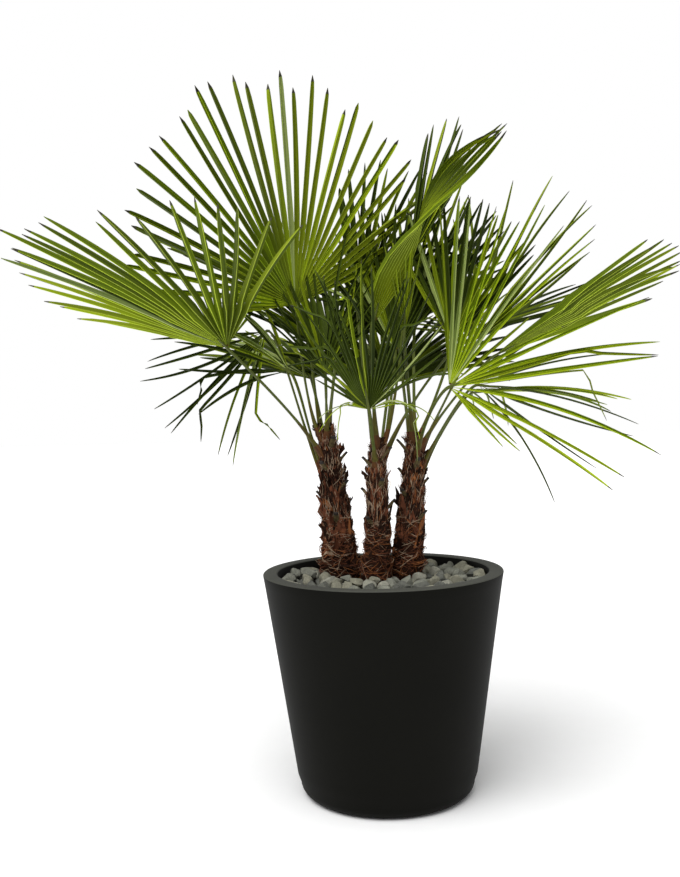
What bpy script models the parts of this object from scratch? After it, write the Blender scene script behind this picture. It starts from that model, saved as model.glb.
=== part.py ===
"""A potted fan palm with three fibrous stems, modelled at its real size.

Metres, +Z up. The origin is the centre of the pot's flat underside. The front of the plant faces -Y, and
+X is to the right of someone who looks at that front. Each frond is a stalk fused with a thin fan blade,
whose outline is cut into leaflets as far in as the web that joins them.
"""

import math
import random
from dataclasses import dataclass

import bmesh
import bpy
from mathutils import Vector, noise
from mathutils.bvhtree import BVHTree

GAP = 0.0003

# Pot
POT_HEIGHT = 0.555
POT_TOP_RADIUS = 0.302
POT_FOOT_RADIUS = 0.220
POT_WALL = 0.036
POT_FLOOR = 0.030
FOOT_ROUND = 0.030
RIM_ROUND = 0.004
POT_SIDES = 48

# Soil and pebbles
SOIL_TOP = POT_HEIGHT - 0.046
PEBBLE_LEVEL = POT_HEIGHT - 0.026
PEBBLE_RADIUS = 0.020
PEBBLE_RISE = 0.017
PEBBLE_RINGS = 9
BED_SIDES = 36
BED_DOME = 0.006

# Stems
STEM_SIDES = 10
STEM_RINGS = 11
FLARE_REACH = 0.030
CROWN_START = 0.78
CROWN_REACH = 0.25
BARK_LUMPS = 0.10
STUB_LENGTH = 0.050
STUB_WIDTH = 0.017
STUB_THICKNESS = 0.007
GOLDEN_ANGLE = math.radians(137.5)
CUTTER_SWELL = 0.0014
CUTTER_DEPTH = 0.010

# Fronds
STALK_FOOT_RADIUS = 0.0095
STALK_NECK_RADIUS = 0.0055
STALK_TIP_RADIUS = 0.0035
STALK_POINTS = 9
STALK_DEPTH = 0.50
STALK_RISE = 0.30
STALK_BEND = 0.12
RIB_LENGTH = 0.055
LEAST_THICKNESS = 0.006
THICKNESS_RATIO = 0.0104
HUB_START = 0.035
WRUNG_ROWS = 4
MIDDLE_WIDTH = 0.60
TIP_HALF_WIDTH = 0.003
LENGTH_JITTER = 0.04
CLEARANCE = 0.0035
LIFTS = (0.0, 0.05, -0.05, 0.10, -0.10)
SHORTENINGS = (1.0, 0.85, 0.7, 0.55)
UP = Vector((0.0, 0.0, 1.0))


@dataclass(frozen=True)
class StemPlan:
    """A stem: the middle of its foot, of its half height and of its top, and its radius at foot and top."""

    name: str
    foot: tuple
    middle: tuple
    top: tuple
    foot_radius: float
    top_radius: float
    flare: float
    stubs: int
    seed: int


@dataclass(frozen=True)
class FrondPlan:
    """A frond: where its stalk leaves its stem, where its fan starts, and how the fan is turned and cut.

    Angles are in degrees. Azimuth 0 points along +X and 90 along +Y, and twist turns the blade about its rib.
    low_side and high_side are the lengths of the outer leaflets, against the rib's. lean is the angle from the
    rib to the middle of the spread, and wring how far the blade turns about its rib on the way to the tips.
    droop and bow are how far the tips sink, and how far they bend forwards, against the length.
    """

    name: str
    stem: int
    stalk_height: float
    hub: tuple
    azimuth: float
    elevation: float
    twist: float
    spread: float
    length: float
    low_side: float = 0.75
    high_side: float = 0.75
    cup: float = 6.0
    droop: float = 0.05
    gather: float = 0.0
    web: float = 0.42
    leaflets: int = 11
    lean: float = 0.0
    wring: float = 0.0
    bow: float = 0.0


STEMS = (
    StemPlan("stem_left", (-0.104, 0.050, SOIL_TOP + GAP), (-0.122, 0.050, 0.750), (-0.136, 0.048, 0.915),
             0.042, 0.027, 0.20, 9, 11),
    StemPlan("stem_middle", (-0.018, -0.022, SOIL_TOP + GAP), (-0.009, -0.022, 0.740), (-0.009, -0.020, 0.880),
             0.031, 0.021, 0.15, 7, 23),
    StemPlan("stem_right", (0.056, 0.020, SOIL_TOP + GAP), (0.080, 0.020, 0.745), (0.086, 0.018, 0.890),
             0.036, 0.025, 0.12, 8, 37),
)
LEFT, MIDDLE, RIGHT = range(3)

FRONDS = (
    FrondPlan("frond_left_tall", LEFT, 0.86, (-0.205, 0.020, 1.230), -124, 73, 106, 165, 0.580,
              0.78, 0.76, 5, 0.02, leaflets=13),
    FrondPlan("frond_left_low", LEFT, 0.80, (-0.361, -0.121, 1.117), -105, 22, -2, 118, 0.640,
              0.55, 0.79, 14, 0.047, leaflets=13, lean=-20),
    FrondPlan("frond_right_front", RIGHT, 0.80, (0.163, -0.200, 1.007), -25, 20, -96, 140, 0.500,
              0.66, 0.85, 4, 0.05, leaflets=13),
    FrondPlan("frond_right_far", RIGHT, 0.83, (0.285, -0.049, 1.084), -19.5, 29, 5.5, 75, 0.500,
              1.00, 1.00, 0, 0.03, leaflets=7, lean=10),
    FrondPlan("frond_middle_folded", MIDDLE, 0.85, (-0.011, -0.140, 1.160), -33, 68.4, 64, 46, 0.572,
              1.00, 1.00, 0, 0.202, 1.90, 0.6, leaflets=5, wring=191, bow=0.237),
    FrondPlan("frond_upright_tuft", MIDDLE, 0.83, (0.092, 0.045, 1.350), 0, 69, 80, 34, 0.360,
              0.85, 0.85, 5, 0.00, 0.30, 0.5, leaflets=5),
    FrondPlan("frond_front_middle", MIDDLE, 0.78, (-0.024, -0.100, 0.960), -110, 70, 0, 150, 0.370,
              0.50, 0.50, 26, 0.02),
    FrondPlan("frond_front_small", RIGHT, 0.86, (0.064, -0.140, 1.134), -80, 80, -6, 70, 0.230,
              0.80, 0.80, 14, 0.04, leaflets=7),
    FrondPlan("frond_left_drooping", LEFT, 0.74, (-0.292, 0.095, 1.170), 178, -46, 84, 94, 0.350,
              0.85, 0.85, 5, 0.04, leaflets=9),
    FrondPlan("frond_left_inner", LEFT, 0.88, (-0.132, -0.015, 1.050), 110, 76, 0, 48, 0.450,
              0.75, 0.75, 9, 0.03, leaflets=9),
    FrondPlan("frond_left_back", LEFT, 0.83, (-0.210, 0.155, 1.238), 160, 30, 0, 130, 0.460,
              0.75, 0.75, 8, 0.06),
    FrondPlan("frond_right_back", RIGHT, 0.79, (0.263, 0.190, 1.138), -28, 67, 90, 80, 0.481,
              0.70, 0.68, 3, 0.00, 0.10, leaflets=9, lean=5),
    FrondPlan("frond_right_upright", RIGHT, 0.83, (0.100, 0.145, 1.170), 60, 68, 0, 90, 0.440,
              0.75, 0.75, 8, 0.03, leaflets=9),
    FrondPlan("frond_right_drooping", RIGHT, 0.76, (0.255, 0.050, 1.016), -10, -8, 72, 120, 0.400,
              0.75, 0.75, 5, 0.06),
    FrondPlan("frond_left_centre", LEFT, 0.77, (-0.228, 0.042, 1.064), 180, 30, 75, 90, 0.320,
              0.75, 0.75, 8, 0.10, leaflets=9),
    FrondPlan("frond_middle_inner", MIDDLE, 0.74, (0.046, 0.105, 1.110), 85, 80, 0, 84, 0.420,
              0.75, 0.75, 9, 0.03, leaflets=9),
    FrondPlan("frond_right_inner", RIGHT, 0.87, (0.190, 0.050, 1.125), 70, 87, 0, 80, 0.400,
              0.75, 0.75, 9, 0.03, leaflets=9, lean=-10),
    FrondPlan("frond_back_middle", MIDDLE, 0.81, (-0.050, 0.150, 1.240), 80, 72, 0, 72, 0.440,
              0.75, 0.75, 10, 0.03, leaflets=9, lean=-24),
    FrondPlan("frond_back_left_tall", LEFT, 0.87, (-0.120, 0.270, 1.120), 108, 52, 0, 120, 0.460,
              0.75, 0.75, 8, 0.08),
    FrondPlan("frond_back_left_low", LEFT, 0.75, (-0.190, 0.320, 1.050), 104, 28, 0, 120, 0.480,
              0.75, 0.75, 6, 0.12),
    FrondPlan("frond_back_low", MIDDLE, 0.71, (0.030, 0.300, 1.030), 85, 40, 0, 150, 0.500,
              0.75, 0.75, 6, 0.12),
    FrondPlan("frond_back_tall", RIGHT, 0.765, (0.060, 0.290, 1.190), 80, 46, 0, 130, 0.460,
              0.75, 0.75, 8, 0.05),
    FrondPlan("frond_back_right", MIDDLE, 0.77, (0.250, 0.320, 1.160), 50, 26, 0, 150, 0.500,
              0.75, 0.75, 6, 0.08),
    FrondPlan("frond_back_right_low", RIGHT, 0.71, (0.260, 0.230, 1.000), 35, 5, 0, 140, 0.480,
              0.72, 0.72, 6, 0.16),
)


def clear_scene():
    for item in list(bpy.data.objects):
        bpy.data.objects.remove(item, do_unlink=True)


def collection(name):
    made = bpy.data.collections.new(name)
    bpy.context.scene.collection.children.link(made)
    return made


def material(name, colour, roughness, metallic=0.0):
    made = bpy.data.materials.new(name)
    made.use_nodes = True
    shader = made.node_tree.nodes["Principled BSDF"]
    shader.inputs["Base Color"].default_value = (*colour, 1.0)
    shader.inputs["Roughness"].default_value = roughness
    shader.inputs["Metallic"].default_value = metallic
    made.diffuse_color = (*colour, 1.0)
    return made


def mesh_object(name, mesh, home, finish):
    made = bpy.data.objects.new(name, mesh)
    home.objects.link(made)
    mesh.materials.clear()
    mesh.materials.append(finish)
    return made


def object_from_bmesh(name, bm, home, finish):
    mesh = bpy.data.meshes.new(name)
    bmesh.ops.recalc_face_normals(bm, faces=bm.faces)
    bm.to_mesh(mesh)
    bm.free()
    return mesh_object(name, mesh, home, finish)


def settle_modifiers(item):
    """Puts the mesh that the modifiers make in place of the object's own, and drops them."""
    bpy.context.view_layer.update()
    graph = bpy.context.evaluated_depsgraph_get()
    mesh = bpy.data.meshes.new_from_object(item.evaluated_get(graph))
    mesh.name = item.name
    item.modifiers.clear()
    item.data = mesh


def boolean(item, operation, other, solver="EXACT"):
    """Joins the object with, or cuts from it, another object or every object of a collection."""
    modifier = item.modifiers.new(operation.title(), "BOOLEAN")
    modifier.operation = operation
    modifier.solver = solver
    if isinstance(other, bpy.types.Collection):
        modifier.operand_type = "COLLECTION"
        modifier.collection = other
    else:
        modifier.object = other
    settle_modifiers(item)


def lofted(rings, closed_ends=True):
    """A closed tube through rings of points with the same count."""
    bm = bmesh.new()
    rows = [[bm.verts.new(point) for point in ring] for ring in rings]
    sides = len(rows[0])
    for low, high in zip(rows, rows[1:]):
        for side in range(sides):
            after = (side + 1) % sides
            bm.faces.new((low[side], low[after], high[after], high[side]))
    if closed_ends:
        bm.faces.new(rows[0][::-1])
        bm.faces.new(rows[-1])
    return bm


def wall_radius(height, inset=0.0):
    """The pot's outer radius at a height, less an inset."""
    return POT_FOOT_RADIUS + (POT_TOP_RADIUS - POT_FOOT_RADIUS) * height / POT_HEIGHT - inset


def arc(centre_x, centre_z, radius, start, end, count):
    """Points of a round edge in the profile's plane, from one angle to another, in degrees."""
    points = []
    for step in range(count):
        angle = math.radians(start + (end - start) * step / (count - 1))
        points.append((centre_x + radius * math.cos(angle), centre_z + radius * math.sin(angle)))
    return points


def turned(name, profile, home, finish):
    """A solid turned about Z from a profile of radius and height, which runs down its outer side."""
    bm = bmesh.new()
    points = [bm.verts.new((radius, 0.0, height)) for radius, height in profile]
    for first, second in zip(points, points[1:]):
        bm.edges.new((first, second))
    mesh = bpy.data.meshes.new(name)
    bm.to_mesh(mesh)
    bm.free()
    made = mesh_object(name, mesh, home, finish)
    screw = made.modifiers.new("Turn", "SCREW")
    screw.steps = POT_SIDES
    screw.render_steps = POT_SIDES
    screw.use_merge_vertices = True
    screw.merge_threshold = 0.0001
    settle_modifiers(made)
    return made


def make_pot(home, finish):
    foot = POT_FOOT_RADIUS - FOOT_ROUND
    rim_outer = POT_TOP_RADIUS - RIM_ROUND
    rim_inner = POT_TOP_RADIUS - POT_WALL + RIM_ROUND
    top = POT_HEIGHT - RIM_ROUND
    profile = [(0.0, POT_FLOOR), (wall_radius(POT_FLOOR, POT_WALL), POT_FLOOR)]
    profile += arc(rim_inner, top, RIM_ROUND, 180, 90, 2)
    profile += arc(rim_outer, top, RIM_ROUND, 90, 0, 3)
    profile += arc(foot, FOOT_ROUND, FOOT_ROUND, 0, -90, 4)
    profile += [(0.0, 0.0)]
    pot = turned("pot", profile, home, finish)
    pot.data.shade_smooth()
    pot.data.set_sharp_from_angle(angle=math.radians(50))
    return pot


def make_soil(home, finish):
    side = POT_WALL + GAP
    bottom = POT_FLOOR + GAP
    profile = [
        (0.0, SOIL_TOP),
        (wall_radius(SOIL_TOP, side), SOIL_TOP),
        (wall_radius(bottom, side), bottom),
        (0.0, bottom),
    ]
    return turned("soil", profile, home, finish)


def pebble_centres():
    """Places of the pebbles: rings about the middle, each turned by the golden angle from the last."""
    draw = random.Random(5)
    reach = wall_radius(PEBBLE_LEVEL, POT_WALL) - PEBBLE_RADIUS
    centres = [(0.0, 0.0)]
    rings = int(reach / (1.7 * PEBBLE_RADIUS))
    for ring in range(1, rings + 1):
        radius = reach * ring / rings
        count = int(math.tau * radius / (1.8 * PEBBLE_RADIUS))
        for step in range(count):
            angle = math.tau * (step + 0.3 * draw.random()) / count + ring * GOLDEN_ANGLE
            centres.append((radius * math.cos(angle), radius * math.sin(angle)))
    return centres


def make_pebble_bed(home, finish):
    """The pebble layer as one solid: a disc whose top rises over each pebble."""
    centres = pebble_centres()
    floor = SOIL_TOP + GAP
    reach = wall_radius(floor, POT_WALL + GAP)

    def top_at(x, y):
        nearest = min(math.hypot(x - cx, y - cy) for cx, cy in centres) / PEBBLE_RADIUS
        rise = PEBBLE_RISE * math.sqrt(max(0.0, 1.0 - nearest * nearest))
        dome = BED_DOME * (1.0 - (math.hypot(x, y) / reach) ** 2)
        return PEBBLE_LEVEL + rise + dome

    rings = [[(0.9 * reach * math.cos(a), 0.9 * reach * math.sin(a), floor) for a in bed_angles(0)]]
    rings.append([(reach * math.cos(a), reach * math.sin(a), floor) for a in bed_angles(0)])
    for ring in range(PEBBLE_RINGS):
        radius = (reach - 0.001) * (1.0 - ring / PEBBLE_RINGS)
        points = []
        for angle in bed_angles(ring % 2):
            x, y = radius * math.cos(angle), radius * math.sin(angle)
            points.append((x, y, top_at(x, y) if ring else PEBBLE_LEVEL))
        rings.append(points)
    bm = lofted(rings)
    bmesh.ops.triangulate(bm, faces=bm.faces)
    return object_from_bmesh("pebble_bed", bm, home, finish)


def bed_angles(half_step):
    return [math.tau * (side + 0.5 * half_step) / BED_SIDES for side in range(BED_SIDES)]


def stem_axis(plan, run):
    """A point of the stem's middle line, on a smooth curve from foot to top as run goes from 0 to 1."""
    foot, middle, top = Vector(plan.foot), Vector(plan.middle), Vector(plan.top)
    control = 2.0 * middle - 0.5 * (foot + top)
    return (1 - run) ** 2 * foot + 2 * run * (1 - run) * control + run**2 * top


def stem_radius(plan, run):
    height = run * (plan.top[2] - plan.foot[2])
    plain = plan.foot_radius + (plan.top_radius - plan.foot_radius) * run
    buried = POT_HEIGHT - SOIL_TOP
    flare = 1.0 + plan.flare * math.exp(-max(0.0, height - buried) / FLARE_REACH)
    crown = math.sqrt(max(0.0, 1.0 - max(0.0, (run - CROWN_START) / CROWN_REACH) ** 2))
    return plain * flare * crown


def stem_rings(plan):
    """Rings of the fibrous stem, lumpy by a smooth noise, from its flat cut to its crown."""
    rings = []
    for ring in range(STEM_RINGS):
        run = ring / (STEM_RINGS - 1)
        centre = stem_axis(plan, run)
        radius = stem_radius(plan, run)
        points = []
        for side in range(STEM_SIDES):
            angle = math.tau * (side + 0.5 * (ring % 2)) / STEM_SIDES
            outward = Vector((math.cos(angle), math.sin(angle), 0.0))
            lump = 1.0 + BARK_LUMPS * noise.noise(centre * 18 + outward * 1.7 + Vector((0, 0, plan.seed)))
            points.append(centre + outward * radius * lump)
        rings.append(points)
    return rings


def make_stub(plan, index, home, finish):
    """The cut foot of an old leaf stalk: a small wedge that leans out of the stem and upwards."""
    run = 0.30 + 0.56 * index / plan.stubs
    centre = stem_axis(plan, run)
    angle = plan.seed + index * GOLDEN_ANGLE
    outward = Vector((math.cos(angle), math.sin(angle), 0.0))
    across = UP.cross(outward)
    lean = (outward * 0.62 + UP * 0.78).normalized()
    flat = lean.cross(across).normalized()
    foot = centre + outward * stem_radius(plan, run) * 0.55
    rings = []
    for reach, width, depth in ((0.0, 1.0, 1.3), (1.0, 0.62, 0.7)):
        middle = foot + lean * STUB_LENGTH * reach
        half_width = across * STUB_WIDTH * 0.5 * width
        half_depth = flat * STUB_THICKNESS * 0.5 * depth
        rings.append([
            middle - half_width - half_depth,
            middle + half_width - half_depth,
            middle + half_width + half_depth,
            middle - half_width + half_depth,
        ])
    return object_from_bmesh(f"{plan.name}_stub_{index}", lofted(rings), home, finish)


def make_stem(plan, home, scrap, finish):
    stem = object_from_bmesh(plan.name, lofted(stem_rings(plan)), home, finish)
    stubs = [make_stub(plan, index, scrap, finish) for index in range(plan.stubs)]
    boolean(stem, "UNION", scrap)
    for stub in stubs:
        bpy.data.objects.remove(stub, do_unlink=True)
    stem.data.shade_smooth()
    stem.data.set_sharp_from_angle(angle=math.radians(40))
    return stem


def stem_cutter(stem, home, finish):
    """The stem's outline a little larger all round, its flat foot carried down past what it cuts."""
    bm = bmesh.new()
    bm.from_mesh(stem.data)
    bm.normal_update()
    for vertex, normal in [(vertex, vertex.normal.copy()) for vertex in bm.verts]:
        vertex.co += normal * CUTTER_SWELL
    foot = [face for face in bm.faces if face.normal.z < -0.99]
    drawn = bmesh.ops.extrude_face_region(bm, geom=foot)["geom"]
    moved = [item for item in drawn if isinstance(item, bmesh.types.BMVert)]
    bmesh.ops.translate(bm, verts=moved, vec=-UP * CUTTER_DEPTH)
    bmesh.ops.delete(bm, geom=foot, context="FACES_ONLY")
    cutter = object_from_bmesh(f"{stem.name}_cutter", bm, home, finish)
    cutter.hide_render = True
    cutter.display_type = "WIRE"
    return cutter


@dataclass
class BladeFrame:
    """The directions of a fan blade: forwards on the level, along its rib, across it and out of its face."""

    hub: Vector
    forward: Vector
    along: Vector
    across: Vector
    face: Vector


def blade_frame(plan):
    azimuth, elevation, twist = (math.radians(v) for v in (plan.azimuth, plan.elevation, plan.twist))
    flat = Vector((math.cos(azimuth), math.sin(azimuth), 0.0))
    along = flat * math.cos(elevation) + UP * math.sin(elevation)
    upright = UP * math.cos(elevation) - flat * math.sin(elevation)
    face = upright * math.cos(twist) + upright.cross(along) * math.sin(twist)
    return BladeFrame(Vector(plan.hub), flat, along, face.cross(along), face)


def wrung(plan, frame, run):
    """The directions across the blade and out of its face at a run, once it has turned about its rib."""
    turn = math.radians(plan.wring) * run
    across = frame.across * math.cos(turn) + frame.face * math.sin(turn)
    face = frame.face * math.cos(turn) - frame.across * math.sin(turn)
    return across, face


def blade_point(plan, frame, angle, length, run):
    """A point of a leaflet's line. The leaflets of a gathered fan curve in towards the rib as they run out."""
    turn = angle * plan.gather
    if abs(turn) < 1e-4:
        along, across = run * math.cos(angle), run * math.sin(angle)
    else:
        last = angle - turn * run
        along = (math.sin(angle) - math.sin(last)) / turn
        across = (math.cos(last) - math.cos(angle)) / turn
    cup = math.radians(plan.cup)
    side, face = wrung(plan, frame, run)
    offset = frame.along * along + side * across * math.cos(cup) + face * abs(across) * math.sin(cup)
    bend = frame.forward * plan.bow - UP * plan.droop
    return frame.hub + offset * length + bend * length * run * run


def web_runs(plan):
    """Runs of the rows of the joined part: more of them where the blade is wrung."""
    steps = WRUNG_ROWS if plan.wring else 1
    return [HUB_START + (plan.web - HUB_START) * step / steps for step in range(steps + 1)]


def leaflet_angle(plan, place):
    """The angle from the rib at a place along the fan's edge, where 0 and the leaflet count are its two ends."""
    return math.radians(plan.spread * (place / plan.leaflets - 0.5) + plan.lean)


def leaflet_length(plan, angle, stretch=1.0):
    half = 0.5 * plan.spread
    edge, side = (half + plan.lean, plan.high_side) if angle > 0 else (half - plan.lean, plan.low_side)
    share = angle / math.radians(edge)
    return plan.length * (1.0 - (1.0 - side) * share * share) * stretch


def thickness(plan):
    return max(LEAST_THICKNESS, THICKNESS_RATIO * plan.length)


@dataclass
class Leaflet:
    """One leaflet of the solid fan: its place in the fan, its stretch, and how far its tip is lifted."""

    place: int
    stretch: float
    lift: float


def leaflet_rows(plan, frame, leaflet):
    """Pairs of points across the leaflet: at the web's edge, at its middle and at its tip."""
    low, high = leaflet_angle(plan, leaflet.place), leaflet_angle(plan, leaflet.place + 1)
    middle_angle = 0.5 * (low + high)
    length = leaflet_length(plan, middle_angle, leaflet.stretch)
    web_edge = [
        blade_point(plan, frame, angle, leaflet_length(plan, angle), plan.web) for angle in (low, high)
    ]
    across = (web_edge[1] - web_edge[0]).normalized()
    base_half = (web_edge[1] - web_edge[0]).length * 0.5
    rows = [web_edge]
    middle_run = 0.5 * (1.0 + plan.web)
    face = wrung(plan, frame, plan.web)[1]
    for run, half in ((middle_run, base_half * MIDDLE_WIDTH), (1.0, TIP_HALF_WIDTH)):
        rise = face * leaflet.lift * length * (run - plan.web)
        centre = blade_point(plan, frame, middle_angle, length, run) + rise
        rows.append([centre - across * half, centre + across * half])
    return rows


def slab_tree(rows, face, half_thickness):
    """A search tree of a strip of point pairs thickened both ways, for telling whether it meets another."""
    points, faces = [], []
    for left, right in rows:
        side = (right - left).normalized() * CLEARANCE
        for corner in (left - side, right + side):
            points.append(corner + face * half_thickness)
            points.append(corner - face * half_thickness)
    for row in range(len(rows) - 1):
        a, b = 4 * row, 4 * row + 4
        faces += [
            (a, a + 2, b + 2, b),
            (a + 1, b + 1, b + 3, a + 3),
            (a, b, b + 1, a + 1),
            (a + 2, a + 3, b + 3, b + 2),
        ]
    last = 4 * len(rows) - 4
    faces += [(0, 1, 3, 2), (last, last + 2, last + 3, last + 1)]
    return BVHTree.FromPolygons(points, faces)


def web_tree(plan, frame):
    """A search tree of the joined part of the fan, thickened both ways."""
    points, faces = [], []
    half = 0.5 * thickness(plan) + CLEARANCE
    runs = web_runs(plan)
    for place in range(plan.leaflets + 1):
        angle = leaflet_angle(plan, place)
        for run in runs:
            spot = blade_point(plan, frame, angle, leaflet_length(plan, angle), run)
            face = wrung(plan, frame, run)[1]
            points += [spot + face * half, spot - face * half]
    span = 2 * len(runs)
    for place in range(plan.leaflets):
        for row in range(len(runs) - 1):
            a = span * place + 2 * row
            b = a + span
            faces += [(a, a + 2, b + 2, b), (a + 1, b + 1, b + 3, a + 3), (a + 2, a + 3, b + 3, b + 2)]
    return BVHTree.FromPolygons(points, faces)


def stalk_line(plan):
    """Points of the stalk's middle line, from inside its stem to a little way along the fan's rib."""
    stem = STEMS[plan.stem]
    run = (plan.stalk_height - stem.foot[2]) / (stem.top[2] - stem.foot[2])
    middle = stem_axis(stem, run)
    frame = blade_frame(plan)
    hub = frame.hub
    outward = hub - middle
    outward.z = 0.0
    outward.normalize()
    start = middle + outward * STALK_DEPTH * stem_radius(stem, run)
    span = (hub - start).length
    leave = (outward * 0.55 + UP).normalized()
    first = start + leave * span * STALK_RISE
    second = hub - frame.along * span * STALK_BEND
    line = []
    for step in range(STALK_POINTS):
        t = step / (STALK_POINTS - 1)
        line.append(
            (1 - t) ** 3 * start + 3 * (1 - t) ** 2 * t * first + 3 * (1 - t) * t**2 * second + t**3 * hub
        )
    line.append(hub + frame.along * RIB_LENGTH - UP * plan.droop * RIB_LENGTH * 0.1)
    return line


def make_stalk(plan, home, finish):
    """The stalk as a tapering tube, widest at its foot."""
    line = stalk_line(plan)
    curve = bpy.data.curves.new(f"{plan.name}_stalk", "CURVE")
    curve.dimensions = "3D"
    curve.bevel_depth = STALK_NECK_RADIUS
    curve.bevel_resolution = 1
    curve.use_fill_caps = True
    spline = curve.splines.new("POLY")
    spline.points.add(len(line) - 1)
    for index, (point, place) in enumerate(zip(spline.points, line)):
        share = index / (STALK_POINTS - 1)
        radius = STALK_NECK_RADIUS + (STALK_FOOT_RADIUS - STALK_NECK_RADIUS) * max(0.0, 1 - 2.2 * share)
        if index == len(line) - 1:
            radius = STALK_TIP_RADIUS
        point.co = (*place, 1.0)
        point.radius = radius / STALK_NECK_RADIUS
    return mesh_from_curve(curve, home, finish)


def mesh_from_curve(curve, home, finish):
    """A closed mesh object in place of the curve, its loose caps welded on."""
    tube = bpy.data.objects.new(curve.name, curve)
    home.objects.link(tube)
    bpy.context.view_layer.update()
    graph = bpy.context.evaluated_depsgraph_get()
    mesh = bpy.data.meshes.new_from_object(tube.evaluated_get(graph))
    bm = bmesh.new()
    bm.from_mesh(mesh)
    bmesh.ops.remove_doubles(bm, verts=bm.verts, dist=1e-6)
    name = tube.name
    bpy.data.objects.remove(tube, do_unlink=True)
    bpy.data.meshes.remove(mesh)
    return object_from_bmesh(name, bm, home, finish)


def tree_of(item):
    bm = bmesh.new()
    bm.from_mesh(item.data)
    tree = BVHTree.FromBMesh(bm)
    bm.free()
    return tree


def chosen_leaflets(plan, frame, obstacles, draw):
    """The leaflets that stay clear of the obstacles, lifted or shortened where that helps."""
    kept = []
    half = 0.5 * thickness(plan) + CLEARANCE
    for place in range(plan.leaflets):
        jitter = 1.0 + LENGTH_JITTER * draw.uniform(-1.0, 1.0)
        tries = [Leaflet(place, jitter * cut, lift) for cut in SHORTENINGS for lift in LIFTS]
        for leaflet in tries:
            tree = slab_tree(leaflet_rows(plan, frame, leaflet), wrung(plan, frame, plan.web)[1], half)
            if not any(tree.overlap(obstacle) for obstacle in obstacles):
                kept.append((leaflet, tree))
                break
    return kept


def make_blade(plan, frame, leaflets, home, finish):
    """The fan as an open surface with leaflets cut free beyond the web, given its thickness by Solidify."""
    bm = bmesh.new()
    edges = []
    for place in range(plan.leaflets + 1):
        angle = leaflet_angle(plan, place)
        length = leaflet_length(plan, angle)
        edges.append([bm.verts.new(blade_point(plan, frame, angle, length, run)) for run in web_runs(plan)])
    for low, high in zip(edges, edges[1:]):
        for row in range(len(low) - 1):
            bm.faces.new((low[row], low[row + 1], high[row + 1], high[row]))
    for leaflet in leaflets:
        rows = leaflet_rows(plan, frame, leaflet)
        last = (edges[leaflet.place][-1], edges[leaflet.place + 1][-1])
        for left, right in rows[1:]:
            row = (bm.verts.new(left), bm.verts.new(right))
            bm.faces.new((last[0], row[0], row[1], last[1]))
            last = row
    blade = object_from_bmesh(plan.name, bm, home, finish)
    solidify = blade.modifiers.new("Thickness", "SOLIDIFY")
    solidify.thickness = thickness(plan)
    solidify.offset = 0.0
    settle_modifiers(blade)
    return blade


def make_fronds(home, scrap, stems, cutters, finish):
    """All the fronds. A leaflet that would meet a stem, a stalk or another fan is lifted, cut or left out."""
    frames = [blade_frame(plan) for plan in FRONDS]
    stalks = [make_stalk(plan, scrap, finish) for plan in FRONDS]
    stem_trees = [tree_of(stem) for stem in stems]
    stalk_trees = [tree_of(stalk) for stalk in stalks]
    webs = [web_tree(plan, frame) for plan, frame in zip(FRONDS, frames)]
    grown = {}
    for index, (plan, frame) in enumerate(zip(FRONDS, frames)):
        obstacles = list(stem_trees)
        for other in range(len(FRONDS)):
            if other != index:
                obstacles += [stalk_trees[other], webs[other], *grown.get(other, [])]
        kept = chosen_leaflets(plan, frame, obstacles, random.Random(index + 1))
        grown[index] = [tree for _, tree in kept]
        blade = make_blade(plan, frame, [leaflet for leaflet, _ in kept], home, finish)
        join_stalk(blade, stalks[index], cutters[plan.stem])


def join_stalk(blade, stalk, cutter):
    boolean(stalk, "DIFFERENCE", cutter)
    boolean(blade, "UNION", stalk)
    bpy.data.objects.remove(stalk, do_unlink=True)


def main():
    clear_scene()
    plant = collection("palm_in_pot")
    scrap = collection("joined_in")
    cutters = collection("cutters")
    cutters.hide_render = True
    black = material("pot_black", (0.012, 0.012, 0.010), 0.6)
    earth = material("soil_brown", (0.035, 0.022, 0.014), 0.95)
    slate = material("pebble_grey", (0.16, 0.17, 0.14), 0.7)
    fibre = material("stem_fibre", (0.10, 0.035, 0.018), 0.95)
    green = material("frond_green", (0.10, 0.18, 0.02), 0.5)
    make_pot(plant, black)
    make_soil(plant, earth)
    bed = make_pebble_bed(plant, slate)
    stems = [make_stem(plan, plant, scrap, fibre) for plan in STEMS]
    outlines = [stem_cutter(stem, cutters, fibre) for stem in stems]
    for outline in outlines:
        boolean(bed, "DIFFERENCE", outline)
    make_fronds(plant, scrap, stems, outlines, green)


main()
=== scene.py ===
"""Looks of a potted fan palm: fine leaf segments, stalks, fibrous stems, loose pebbles and the pot.

Metres, +Z up. The origin is the centre of the pot's flat underside and the plant's front faces -Y. The
fronds follow the same plans and the same blade rule as the solids, carried on to single leaf segments.
"""

import logging
import math
import random
from dataclasses import dataclass, field
from enum import Enum

import bmesh
import bpy
from mathutils import Matrix, Quaternion, Vector, noise


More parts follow.
